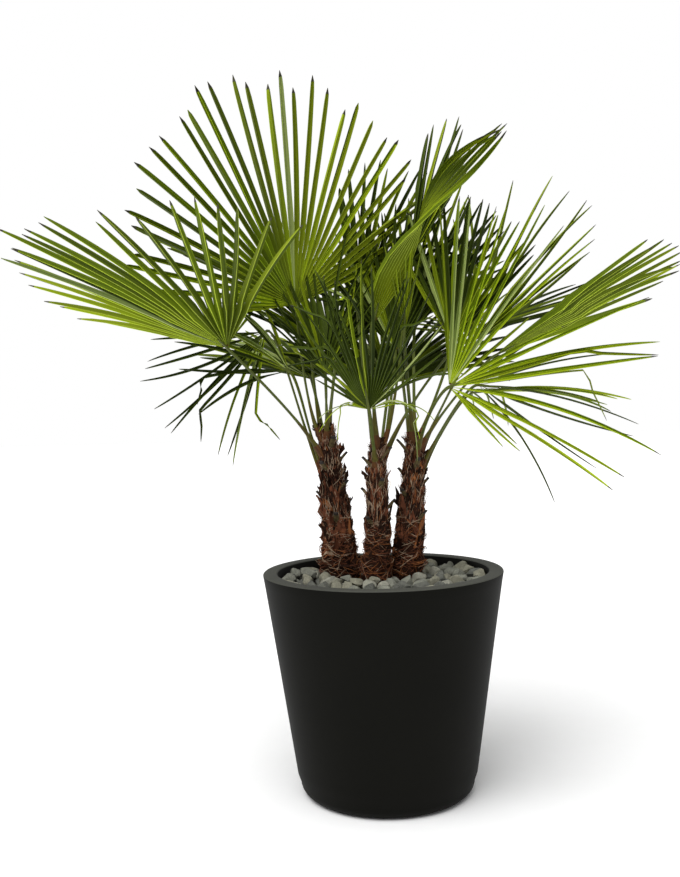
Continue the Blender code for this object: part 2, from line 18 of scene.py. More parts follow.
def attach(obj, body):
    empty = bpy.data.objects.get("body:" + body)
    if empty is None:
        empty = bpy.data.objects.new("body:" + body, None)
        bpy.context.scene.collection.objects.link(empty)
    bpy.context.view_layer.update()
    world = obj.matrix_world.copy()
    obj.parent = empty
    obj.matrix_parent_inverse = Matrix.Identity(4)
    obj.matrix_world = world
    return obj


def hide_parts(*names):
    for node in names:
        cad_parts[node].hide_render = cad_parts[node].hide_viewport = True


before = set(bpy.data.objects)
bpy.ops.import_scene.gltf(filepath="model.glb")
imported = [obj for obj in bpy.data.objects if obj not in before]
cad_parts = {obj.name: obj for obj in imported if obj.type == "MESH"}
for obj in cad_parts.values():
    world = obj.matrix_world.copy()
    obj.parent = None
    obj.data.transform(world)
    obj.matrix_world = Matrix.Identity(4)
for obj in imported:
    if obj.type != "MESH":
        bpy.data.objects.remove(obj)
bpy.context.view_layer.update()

UP = Vector((0.0, 0.0, 1.0))
GOLDEN_ANGLE = math.radians(137.5)
KEY_RUN = Vector((0.26, 0.40, -1.0))
Colour = tuple[float, float, float]
log = logging.getLogger("palm")


# Shader node groups


def new_group(name: str, inputs: dict[str, float], outputs: dict[str, str]) -> bpy.types.ShaderNodeTree:
    """Make a shader node group with float inputs and named outputs.

    Args:
        name: Name of the group.
        inputs: Default value of each float input.
        outputs: Socket type of each output.

    Returns:
        The group, holding only its input and output nodes.
    """
    tree = bpy.data.node_groups.new(name, "ShaderNodeTree")
    for label, value in inputs.items():
        socket = tree.interface.new_socket(name=label, in_out="INPUT", socket_type="NodeSocketFloat")
        socket.default_value = value
    for label, kind in outputs.items():
        tree.interface.new_socket(name=label, in_out="OUTPUT", socket_type=kind)
    tree.nodes.new("NodeGroupInput").name = "In"
    tree.nodes.new("NodeGroupOutput").name = "Out"
    return tree


def streak_group() -> bpy.types.ShaderNodeTree:
    """Make the group for fine streaks that run along a leaf segment or stalk, read from its texture places, and for
    how squarely a face meets the key light, from which the finishes paint shade.

    Returns:
        A group with a mask, a height, the line of the middle rib, used for a pale rib and painted highlight, and how
        squarely a face looks at the key light, used for painted shade, each from 0 to 1.
    """
    tree = new_group("streaks_and_key_shade", {"Lines": 9.0, "Wander": 2.0, "Seed": 0.0, "Rib Width": 0.07},
                     {name: "NodeSocketFloat" for name in ("Mask", "Height", "Rib", "Lit")})
    nodes, links = tree.nodes, tree.links
    place = nodes.new("ShaderNodeUVMap")
    place.uv_map = "along"
    split = nodes.new("ShaderNodeSeparateXYZ")
    links.new(place.outputs["UV"], split.inputs[0])
    lines = nodes.new("ShaderNodeMath")
    lines.operation = "MULTIPLY"
    links.new(split.outputs["X"], lines.inputs[0])
    links.new(nodes["In"].outputs["Lines"], lines.inputs[1])
    run = nodes.new("ShaderNodeMath")
    run.operation = "MULTIPLY"
    links.new(split.outputs["Y"], run.inputs[0])
    links.new(nodes["In"].outputs["Wander"], run.inputs[1])
    joined = nodes.new("ShaderNodeCombineXYZ")
    links.new(lines.outputs[0], joined.inputs["X"])
    links.new(run.outputs[0], joined.inputs["Y"])
    links.new(nodes["In"].outputs["Seed"], joined.inputs["Z"])
    ribs = nodes.new("ShaderNodeTexNoise")
    ribs.inputs["Scale"].default_value = 1.0
    ribs.inputs["Detail"].default_value = 3.0
    links.new(joined.outputs[0], ribs.inputs["Vector"])
    spread = nodes.new("ShaderNodeMapRange")
    spread.inputs["From Min"].default_value = 0.32
    spread.inputs["From Max"].default_value = 0.68
    links.new(ribs.outputs["Fac"], spread.inputs["Value"])
    links.new(spread.outputs[0], nodes["Out"].inputs["Mask"])
    links.new(ribs.outputs["Fac"], nodes["Out"].inputs["Height"])
    shift = nodes.new("ShaderNodeMath")
    shift.operation = "SUBTRACT"
    shift.inputs[1].default_value = 0.5
    links.new(split.outputs["X"], shift.inputs[0])
    aside = nodes.new("ShaderNodeMath")
    aside.operation = "ABSOLUTE"
    links.new(shift.outputs[0], aside.inputs[0])
    line = nodes.new("ShaderNodeMapRange")
    line.interpolation_type = "SMOOTHSTEP"
    line.inputs["To Min"].default_value = 1.0
    line.inputs["To Max"].default_value = 0.0
    links.new(aside.outputs[0], line.inputs["Value"])
    links.new(nodes["In"].outputs["Rib Width"], line.inputs["From Max"])
    links.new(line.outputs[0], nodes["Out"].inputs["Rib"])
    # Lit: how squarely a face meets the key light, from which the finishes paint shade on faces turned away.
    surface = nodes.new("ShaderNodeNewGeometry")
    square = nodes.new("ShaderNodeVectorMath")
    square.operation = "DOT_PRODUCT"
    square.inputs[1].default_value = -KEY_RUN.normalized()
    links.new(surface.outputs["Normal"], square.inputs[0])
    lit = nodes.new("ShaderNodeMapRange")
    lit.inputs["From Min"].default_value = -0.10
    lit.inputs["From Max"].default_value = 0.65
    links.new(square.outputs["Value"], lit.inputs["Value"])
    links.new(lit.outputs[0], nodes["Out"].inputs["Lit"])
    return tree


def mottle_group() -> bpy.types.ShaderNodeTree:
    """Make the group for soft blotches and fine grain in the solid, by the object's own coordinates.

    Returns:
        A group with a blotch mask, a grain mask and a height.
    """
    tree = new_group("mottle", {"Blotch Scale": 4.0, "Grain Scale": 120.0, "Stretch": 1.0},
                     {"Blotch": "NodeSocketFloat", "Grain": "NodeSocketFloat", "Height": "NodeSocketFloat"})
    nodes, links = tree.nodes, tree.links
    place = nodes.new("ShaderNodeTexCoord")
    split = nodes.new("ShaderNodeSeparateXYZ")
    links.new(place.outputs["Object"], split.inputs[0])
    squeeze = nodes.new("ShaderNodeMath")
    squeeze.operation = "MULTIPLY"
    links.new(split.outputs["Z"], squeeze.inputs[0])
    links.new(nodes["In"].outputs["Stretch"], squeeze.inputs[1])
    joined = nodes.new("ShaderNodeCombineXYZ")
    links.new(split.outputs["X"], joined.inputs["X"])
    links.new(split.outputs["Y"], joined.inputs["Y"])
    links.new(squeeze.outputs[0], joined.inputs["Z"])
    for label, detail in (("Blotch", 4.0), ("Grain", 3.0)):
        cloud = nodes.new("ShaderNodeTexNoise")
        cloud.name = label
        cloud.inputs["Detail"].default_value = detail
        links.new(joined.outputs[0], cloud.inputs["Vector"])
        links.new(nodes["In"].outputs[f"{label} Scale"], cloud.inputs["Scale"])
        spread = nodes.new("ShaderNodeMapRange")
        spread.inputs["From Min"].default_value = 0.30
        spread.inputs["From Max"].default_value = 0.70
        links.new(cloud.outputs["Fac"], spread.inputs["Value"])
        links.new(spread.outputs[0], nodes["Out"].inputs[label])
    total = nodes.new("ShaderNodeMath")
    total.operation = "MULTIPLY_ADD"
    total.inputs[1].default_value = 0.35
    links.new(nodes["Grain"].outputs["Fac"], total.inputs[0])
    links.new(nodes["Blotch"].outputs["Fac"], total.inputs[2])
    links.new(total.outputs[0], nodes["Out"].inputs["Height"])
    return tree


STREAKS = streak_group()
MOTTLE = mottle_group()


# Finishes


@dataclass(frozen=True)
class StreakedFinish:
    """A living surface with fine streaks along it, as on leaf segments, stalks and fibres.

    turned is the share of the tint that is painted shade by how a face is turned from the key light, so that
    the half of each pleat that looks away from it is painted darker. The rib strength is that of the pale line
    along the middle, partly a real pale rib and partly a painted highlight.
    """

    name: str
    colour: Colour
    shade: Colour
    roughness: float = 0.45
    lines: float = 9.0
    wander: float = 2.0
    relief: float = 0.25
    specular: float = 0.5
    rib: float = 0.0
    turned: float = 0.35

    def build(self) -> bpy.types.Material:
        """Make the material of this finish."""
        made, shader = plain_material(self.name, self.roughness, self.specular)
        nodes, links = made.node_tree.nodes, made.node_tree.links
        streaks = placed_group(made, STREAKS, {"Lines": self.lines, "Wander": self.wander})
        tint = mixed_colour(made, self.shade, self.colour)
        streaked = nodes.new("ShaderNodeMath")
        streaked.operation = "MULTIPLY"
        streaked.inputs[1].default_value = 1.0 - self.turned
        links.new(streaks.outputs["Mask"], streaked.inputs[0])
        # Painted shade: faces turned from the key light take more of the darker colour, by the share turned.
        streaks_and_painted_shade = nodes.new("ShaderNodeMath")
        streaks_and_painted_shade.operation = "MULTIPLY_ADD"
        streaks_and_painted_shade.inputs[1].default_value = self.turned
        links.new(streaks.outputs["Lit"], streaks_and_painted_shade.inputs[0])
        links.new(streaked.outputs[0], streaks_and_painted_shade.inputs[2])
        links.new(streaks_and_painted_shade.outputs[0], tint.inputs["Factor"])
        # Pale line along each segment's middle: partly the real pale rib, partly a painted highlight.
        rib_and_highlight_tint = mixed_colour(made, self.colour, tuple(1.8 * part + 0.06 for part in self.colour))
        share = nodes.new("ShaderNodeMath")
        share.operation = "MULTIPLY"
        share.inputs[1].default_value = self.rib
        links.new(streaks.outputs["Rib"], share.inputs[0])
        links.new(share.outputs[0], rib_and_highlight_tint.inputs["Factor"])
        links.new(tint.outputs["Result"], rib_and_highlight_tint.inputs["First"])
        links.new(rib_and_highlight_tint.outputs["Result"], shader.inputs["Base Color"])
        bump = nodes.new("ShaderNodeBump")
        bump.inputs["Strength"].default_value = self.relief
        bump.inputs["Distance"].default_value = 0.001
        links.new(streaks.outputs["Height"], bump.inputs["Height"])
        links.new(bump.outputs["Normal"], shader.inputs["Normal"])
        return made


@dataclass(frozen=True)
class MottledFinish:
    """A dead or mineral surface with blotches and grain: pot, pebbles, soil, bark and the floor."""

    name: str
    colour: Colour
    shade: Colour
    roughness: float
    blotch_scale: float = 6.0
    grain_scale: float = 160.0
    stretch: float = 1.0
    relief: float = 0.3
    depth: float = 0.001
    specular: float = 0.5

    def build(self) -> bpy.types.Material:
        """Make the material of this finish."""
        made, shader = plain_material(self.name, self.roughness, self.specular)
        nodes, links = made.node_tree.nodes, made.node_tree.links
        mottle = placed_group(made, MOTTLE, {
            "Blotch Scale": self.blotch_scale, "Grain Scale": self.grain_scale, "Stretch": self.stretch})
        blend = nodes.new("ShaderNodeMath")
        blend.operation = "MULTIPLY_ADD"
        blend.inputs[1].default_value = 0.5
        half = nodes.new("ShaderNodeMath")
        half.operation = "MULTIPLY"
        half.inputs[1].default_value = 0.5
        links.new(mottle.outputs["Grain"], half.inputs[0])
        links.new(mottle.outputs["Blotch"], blend.inputs[0])
        links.new(half.outputs[0], blend.inputs[2])
        tint = mixed_colour(made, self.colour, self.shade)
        links.new(blend.outputs[0], tint.inputs["Factor"])
        links.new(tint.outputs["Result"], shader.inputs["Base Color"])
        bump = nodes.new("ShaderNodeBump")
        bump.inputs["Strength"].default_value = self.relief
        bump.inputs["Distance"].default_value = self.depth
        links.new(mottle.outputs["Height"], bump.inputs["Height"])
        links.new(bump.outputs["Normal"], shader.inputs["Normal"])
        return made


def plain_material(name: str, roughness: float, specular: float) -> tuple[bpy.types.Material, bpy.types.Node]:
    """Make a material with a Principled shader.

    Args:
        name: Name of the material.
        roughness: Roughness all over.
        specular: Specular level all over.

    Returns:
        The material and its shader node.
    """
    made = bpy.data.materials.new(name)
    made.use_nodes = True
    shader = made.node_tree.nodes["Principled BSDF"]
    shader.inputs["Roughness"].default_value = roughness
    shader.inputs["Specular IOR Level"].default_value = specular
    return made, shader


def placed_group(made: bpy.types.Material, tree: bpy.types.ShaderNodeTree,
                 values: dict[str, float]) -> bpy.types.Node:
    """Place a node group in a material.

    Args:
        made: The material.
        tree: The group.
        values: Values of its inputs.

    Returns:
        The placed node.
    """
    node = made.node_tree.nodes.new("ShaderNodeGroup")
    node.node_tree = tree
    for label, value in values.items():
        node.inputs[label].default_value = value
    return node


def mixed_colour(made: bpy.types.Material, first: Colour, second: Colour) -> "ColourMix":
    """Place a colour mix between two fixed colours.

    Args:
        made: The material.
        first: Colour where the factor is 0.
        second: Colour where the factor is 1.

    Returns:
        The mix with its factor input and its result output by name.
    """
    node = made.node_tree.nodes.new("ShaderNodeMix")
    node.data_type = "RGBA"
    node.inputs[6].default_value = (*first, 1.0)
    node.inputs[7].default_value = (*second, 1.0)
    return ColourMix({"Factor": node.inputs[0], "First": node.inputs[6]}, {"Result": node.outputs[2]})


@dataclass
class ColourMix:
    """A colour mix node's sockets by plain name."""

    inputs: dict[str, bpy.types.NodeSocket]
    outputs: dict[str, bpy.types.NodeSocket]


class Leaf(Enum):
    """Finish slots of a frond, in the order they stand on its mesh."""

    # Each green's second colour is painted shade on faces turned from the key light, and the dark of its streaks.
    OLIVE = StreakedFinish("leaf_olive", (0.270, 0.340, 0.008), (0.031, 0.054, 0.001), 0.58, rib=1.0, specular=0.12,
                           turned=0.7)
    # Bright yellow-green: partly real, partly painted light shining through the leaf.
    BRIGHT_GREEN = StreakedFinish("leaf_bright_and_backlit", (0.380, 0.485, 0.010), (0.064, 0.106, 0.001), 0.58, rib=1.0, specular=0.12,
                           turned=0.7)
    # Dark green: painted shade for fronds inside and behind the crown.
    SHADED_GREEN = StreakedFinish("leaf_shaded_green", (0.060, 0.090, 0.004), (0.008, 0.015, 0.001), 0.62, rib=0.7, specular=0.12,
                          turned=0.7)
    # Pale grey-green: partly the paler underside, partly a painted sheen.
    PALE_AND_SHEEN = StreakedFinish("leaf_pale_and_sheen", (0.470, 0.550, 0.180), (0.080, 0.125, 0.014), 0.58, rib=0.8, specular=0.2,
                           turned=0.7)
    HUB = StreakedFinish("leaf_hub", (0.120, 0.115, 0.006), (0.090, 0.058, 0.006), 0.6, specular=0.2)
    TIP = StreakedFinish("leaf_tip", (0.085, 0.080, 0.042), (0.036, 0.036, 0.022), 0.7, specular=0.2)
    STALK = StreakedFinish("stalk_green", (0.095, 0.120, 0.006), (0.044, 0.060, 0.004), 0.5, 5.0, 9.0, specular=0.3)
    STALK_LOW = StreakedFinish("stalk_low", (0.110, 0.105, 0.008), (0.052, 0.040, 0.006), 0.6, 6.0, 8.0, specular=0.2)
    STALK_FOOT = StreakedFinish("stalk_foot", (0.150, 0.062, 0.016), (0.050, 0.020, 0.008), 0.8, 9.0, 6.0,
                                specular=0.2)


class Bark(Enum):
    """Finish slots of a stem."""

    # Darkest under-layer of the stem: partly real dark fibre, partly painted shade in the gaps between mats and
    # strands.
    MAT = MottledFinish("stem_mat", (0.048, 0.018, 0.010), (0.008, 0.004, 0.003), 0.95, 60.0, 420.0, 0.22,
                        1.0, 0.004, 0.08)
    DARK = StreakedFinish("fibre_dark", (0.045, 0.020, 0.012), (0.008, 0.005, 0.003), 0.9, specular=0.08)
    RED = StreakedFinish("fibre_red", (0.240, 0.086, 0.044), (0.056, 0.019, 0.010), 0.85, specular=0.08)
    ORANGE = StreakedFinish("fibre_orange", (0.420, 0.155, 0.052), (0.150, 0.052, 0.020), 0.85, specular=0.08)
    STRAW = StreakedFinish("fibre_straw", (0.520, 0.390, 0.270), (0.220, 0.135, 0.080), 0.8, specular=0.12)
    STUB = StreakedFinish("old_stalk", (0.165, 0.130, 0.050), (0.045, 0.030, 0.014), 0.85, 6.0, 4.0,
                          specular=0.2)
    STUB_END = StreakedFinish("cut_end", (0.030, 0.022, 0.016), (0.012, 0.010, 0.008), 0.9)


class Stone(Enum):
    """Finish slots of the pebbles."""

    SLATE = MottledFinish("pebble_slate", (0.270, 0.273, 0.224), (0.105, 0.107, 0.089), 0.85, 60.0, 300.0,
                          relief=0.7, depth=0.003, specular=0.2)
    OLIVE = MottledFinish("pebble_olive", (0.300, 0.290, 0.220), (0.130, 0.126, 0.095), 0.85, 70.0, 320.0,
                          relief=0.7, depth=0.003, specular=0.2)
    PALE = MottledFinish("pebble_pale", (0.360, 0.355, 0.290), (0.165, 0.163, 0.132), 0.85, 80.0, 300.0,
                         relief=0.7, depth=0.003, specular=0.2)
    # Dark stones, also used as painted shade for the lower layer seen in the gaps.
    DARK = MottledFinish("pebble_dark_and_shade", (0.160, 0.163, 0.138), (0.052, 0.053, 0.047), 0.8, 60.0, 280.0,
                         relief=0.7, depth=0.003, specular=0.2)


POT_BODY = MottledFinish("pot_black", (0.0030, 0.0030, 0.0020), (0.0044, 0.0043, 0.0030), 0.6, 5.0, 320.0,
                         1.0, 0.10, 0.0006, 0.07)
POT_RIM = MottledFinish("pot_rim", (0.060, 0.061, 0.050), (0.042, 0.043, 0.036), 0.75, 9.0, 300.0,
                        1.0, 0.15, 0.0006, 0.3)
SOIL = MottledFinish("soil_dark", (0.020, 0.014, 0.009), (0.008, 0.006, 0.004), 0.95, 45.0, 300.0,
                     1.0, 0.9, 0.004)
FLOOR = MottledFinish("studio_floor", (0.97, 0.97, 0.97), (0.95, 0.95, 0.95), 0.9, 0.8, 20.0, 1.0, 0.0)


# Mesh drafting


@dataclass
class Draft:
    """Points and faces gathered for one joined piece, with a finish slot and texture places for each face."""

    points: list[Vector] = field(default_factory=list)
    faces: list[tuple[int, ...]] = field(default_factory=list)
    slots: list[int] = field(default_factory=list)
    places: list[tuple[float, float]] = field(default_factory=list)

    def strip(self, rows: list[list[Vector]], slots: list[int], closed: bool, start: float = 0.0,
              rate: float = 1.0, reverse: bool = False) -> None:
        """Add a strip through rows of points. Each step is split on the same diagonal, whichever way it looks.

        Args:
            rows: Rows with the same count of points.
            slots: Finish slot of the faces after each row.
            closed: Whether a row's last point joins its first.
            start: Texture place along the strip at the first row.
            rate: Texture places per row.
            reverse: Whether the faces look the other way.
        """
        first = len(self.points)
        count = len(rows[0])
        sides = count if closed else count - 1
        for row in rows:
            self.points.extend(row)
        order = -1 if reverse else 1
        for index in range(len(rows) - 1):
            low, high = start + rate * index, start + rate * (index + 1)
            for side in range(sides):
                after = (side + 1) % count
                a, b = first + index * count + side, first + index * count + after
                left, right = side / sides, (side + 1) / sides
                for face, corners in (((a, b, b + count), ((left, low), (right, low), (right, high))),
                                      ((a, b + count, a + count), ((left, low), (right, high), (left, high)))):
                    self.faces.append(face[::order])
                    self.places.extend(corners[::order])
                    self.slots.append(slots[index])

    def cap(self, ring: list[Vector], slot: int, flip: bool = False) -> None:
        """Close a ring with one face."""
        first = len(self.points)
        self.points.extend(ring)
        face = tuple(range(first, first + len(ring)))
        self.faces.append(face[::-1] if flip else face)
        self.places.extend([(0.5, 0.5)] * len(ring))
        self.slots.append(slot)

    def build(self, name: str, finishes: list[bpy.types.Material], sharp: float) -> bpy.types.Object:
        """Make the piece.

        Args:
            name: Name of the piece.
            finishes: Materials in slot order.
            sharp: Angle in degrees from which an edge stays sharp.

        Returns:
            The linked object.
        """
        mesh = bpy.data.meshes.new(name)
        mesh.from_pydata(self.points, [], self.faces)
        for finish in finishes:
            mesh.materials.append(finish)
        mesh.polygons.foreach_set("material_index", self.slots)
        layer = mesh.uv_layers.new(name="along")
        layer.data.foreach_set("uv", [value for place in self.places for value in place])
        mesh.validate()
        mesh.shade_smooth()
        mesh.set_sharp_from_angle(angle=math.radians(sharp))
        made = bpy.data.objects.new(name, mesh)
        bpy.context.scene.collection.objects.link(made)
        return made


def settled(piece: bpy.types.Object, nodes: list[str]) -> bpy.types.Object:
    """Ride a piece on the plant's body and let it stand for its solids.

    Args:
        piece: The piece.
        nodes: Names of the solids that it stands for.

    Returns:
        The piece.
    """
    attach(piece, "root")
    if nodes:
        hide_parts(*nodes)
    faces = sum(len(face.vertices) - 2 for face in piece.data.polygons)
    log.info("%s: %d triangles", piece.name, faces)
    return piece


# Pot, soil and pebbles


@dataclass
class Pot:
    """The round tapered pot, turned about its axis, with an even wall and a softly rounded rim."""

    height: float = 0.555
    top_radius: float = 0.302
    foot_radius: float = 0.220
    wall: float = 0.036
    floor: float = 0.030
    foot_round: float = 0.030
    rim_round: float = 0.004
    sides: int = 160

    def wall_radius(self, height: float, inset: float = 0.0) -> float:
        """Outer radius at a height, less an inset."""
        return self.foot_radius + (self.top_radius - self.foot_radius) * height / self.height - inset

    def profile(self) -> list[tuple[float, float, int]]:
        """Radius, height and finish slot of the profile, from the inner floor over the rim to the foot.

        Returns:
            The points in order.
        """
        inner = self.top_radius - self.wall + self.rim_round
        outer = self.top_radius - self.rim_round
        top = self.height - self.rim_round
        line = [(0.0, self.floor, 0), (self.wall_radius(self.floor, self.wall), self.floor, 0)]
        for step in range(9):
            height = self.floor + (top - self.floor) * (step + 1) / 9
            line.append((self.wall_radius(height, self.wall) + 0.0004 * (step % 2), height, 0))
        for step in range(1, 5):
            angle = math.radians(180 - 22.5 * step)
            line.append((inner + self.rim_round * math.cos(angle), top + self.rim_round * math.sin(angle), 1))
        for step in range(5):
            angle = math.radians(90 - 22.5 * step)
            line.append((outer + self.rim_round * math.cos(angle), top + self.rim_round * math.sin(angle),
                         1 if step < 3 else 0))
        for step in range(1, 24):
            height = top - (top - self.foot_round) * step / 24
            line.append((self.wall_radius(height), height, 0))
        centre = self.foot_radius - self.foot_round
        for step in range(9):
            angle = math.radians(-90 * step / 8)
            line.append((centre + self.foot_round * math.cos(angle),
                         self.foot_round + self.foot_round * math.sin(angle), 0))
        line.append((0.0, 0.0, 0))
        return line

    def build(self) -> bpy.types.Object:
        """Make the pot with the faint unevenness of a cast wall."""
        draft = Draft()
        line = self.profile()
        rows, slots = [], []
        for radius, height, slot in line:
            ring = []
            for side in range(self.sides):
                angle = math.tau * side / self.sides
                spot = Vector((math.cos(angle), math.sin(angle), height * 2.0))
                uneven = 0.0007 * noise.noise(spot * 2.2) if radius > 0.1 and 0.01 < height < 0.55 else 0.0
                ring.append(Vector((math.cos(angle) * (radius + uneven), math.sin(angle) * (radius + uneven),
                                    height)))
            rows.append(ring)
            slots.append(slot)
        draft.strip(rows, slots, closed=True, reverse=False)
        piece = draft.build("pot_shell", [POT_BODY.build(), POT_RIM.build()], 50)
        weld(piece)
        return settled(piece, ["pot"])


def weld(piece: bpy.types.Object) -> None:
    """Join coincident points and turn every face outwards."""
    bm = bmesh.new()
    bm.from_mesh(piece.data)
    bmesh.ops.remove_doubles(bm, verts=bm.verts, dist=1e-6)
    bmesh.ops.dissolve_degenerate(bm, edges=bm.edges, dist=1e-7)
    bmesh.ops.recalc_face_normals(bm, faces=bm.faces)
    bm.to_mesh(piece.data)
    bm.free()


@dataclass
class PebbleBed:
    """Loose rounded stones that cover the soil, in two layers."""

    level: float = 0.529
    reach: float = 0.262
    size: float = 0.0215
    dome: float = 0.006
    flat_sides: int = 13
    seed: int = 5

    def centres(self, level: float, pack: float, draw: random.Random) -> list[Vector]:
        """Places of one layer's stones: rings about the middle, each turned from the last.

        Args:
            level: Height of the layer.
            pack: Spacing in stone radii.
            draw: Source of chance.

        Returns:
            The centres.
        """
        found = [Vector((0.0, 0.0, level))]
        reach = self.reach - self.size
        rings = int(reach / (pack * 0.94 * self.size))
        for ring in range(1, rings + 1):
            radius = reach * ring / rings
            count = int(math.tau * radius / (pack * self.size))
            for step in range(count):
                angle = math.tau * (step + 0.35 * draw.random()) / count + ring * GOLDEN_ANGLE
                away = radius + draw.uniform(-0.15, 0.15) * self.size * (ring < rings)
                rise = self.dome * (1.0 - (radius / self.reach) ** 2)
                found.append(Vector((away * math.cos(angle), away * math.sin(angle), level + rise)))
        return found

    def stone(self, draft: Draft, centre: Vector, radius: float, draw: random.Random) -> None:
        """Add one broken stone with its own shape, flat sides, turn and finish; the lower layer is mostly dark, as
        painted shade in the gaps between upper stones.
        """
        bm = bmesh.new()
        bmesh.ops.create_icosphere(bm, subdivisions=3, radius=1.0)
        shape = Vector((draw.uniform(1.0, 1.35), draw.uniform(0.85, 1.1), draw.uniform(0.70, 0.95))) * radius
        turn = Quaternion(UP, draw.uniform(0, math.tau))
        turn = turn @ Quaternion((draw.uniform(-1, 1), draw.uniform(-1, 1), 0.1), draw.uniform(0, 0.55))
        shift = Vector((draw.uniform(0, 50), draw.uniform(0, 50), 0.0))
        first = len(draft.points)
        # Lower-layer stones mostly take the dark finish: painted shade in the crevices.
        slot = draw.choices(range(4), (5, 5, 3, 3) if centre.z > self.level - 0.005 else (1, 1, 0, 8))[0]
        sides = [(Vector((draw.gauss(0, 1), draw.gauss(0, 1), draw.gauss(0, 1))).normalized(),
                  draw.uniform(0.50, 0.80)) for _ in range(self.flat_sides)]
        for vertex in bm.verts:
            spot = vertex.co * (1.0 + 0.22 * noise.noise(vertex.co * 1.2 + shift))
            for outward, reach in sides:
                spot = spot - outward * max(0.0, spot.dot(outward) - reach) * 0.96
            spot = spot * (1.04 + 0.06 * noise.noise(vertex.co * 4.0 + shift))
            draft.points.append(centre + turn @ Vector(a * b for a, b in zip(spot, shape)))
        for face in bm.faces:
            draft.faces.append(tuple(first + vertex.index for vertex in face.verts))
            draft.places.extend([(0.0, 0.0)] * 3)
            draft.slots.append(slot)
        bm.free()

    def build(self, stems: list["FibreStem"]) -> bpy.types.Object:
        """Make the stones, leaving out those that a stem stands on."""
        draw = random.Random(self.seed)
        draft = Draft()
        for level, pack, share in ((self.level - 0.012, 1.95, 0.95), (self.level + 0.003, 2.05, 1.0)):
            for centre in self.centres(level, pack, draw):
                radius = self.size * share * draw.uniform(0.76, 1.06)
                spot = centre + Vector((0, 0, draw.uniform(-0.004, 0.004)))
                if all(stem.clearance(spot) > 0.45 * radius for stem in stems):
                    self.stone(draft, spot, radius, draw)
        piece = draft.build("pebbles", [stone.value.build() for stone in Stone], 20)
        return settled(piece, ["pebble_bed"])


# Stems


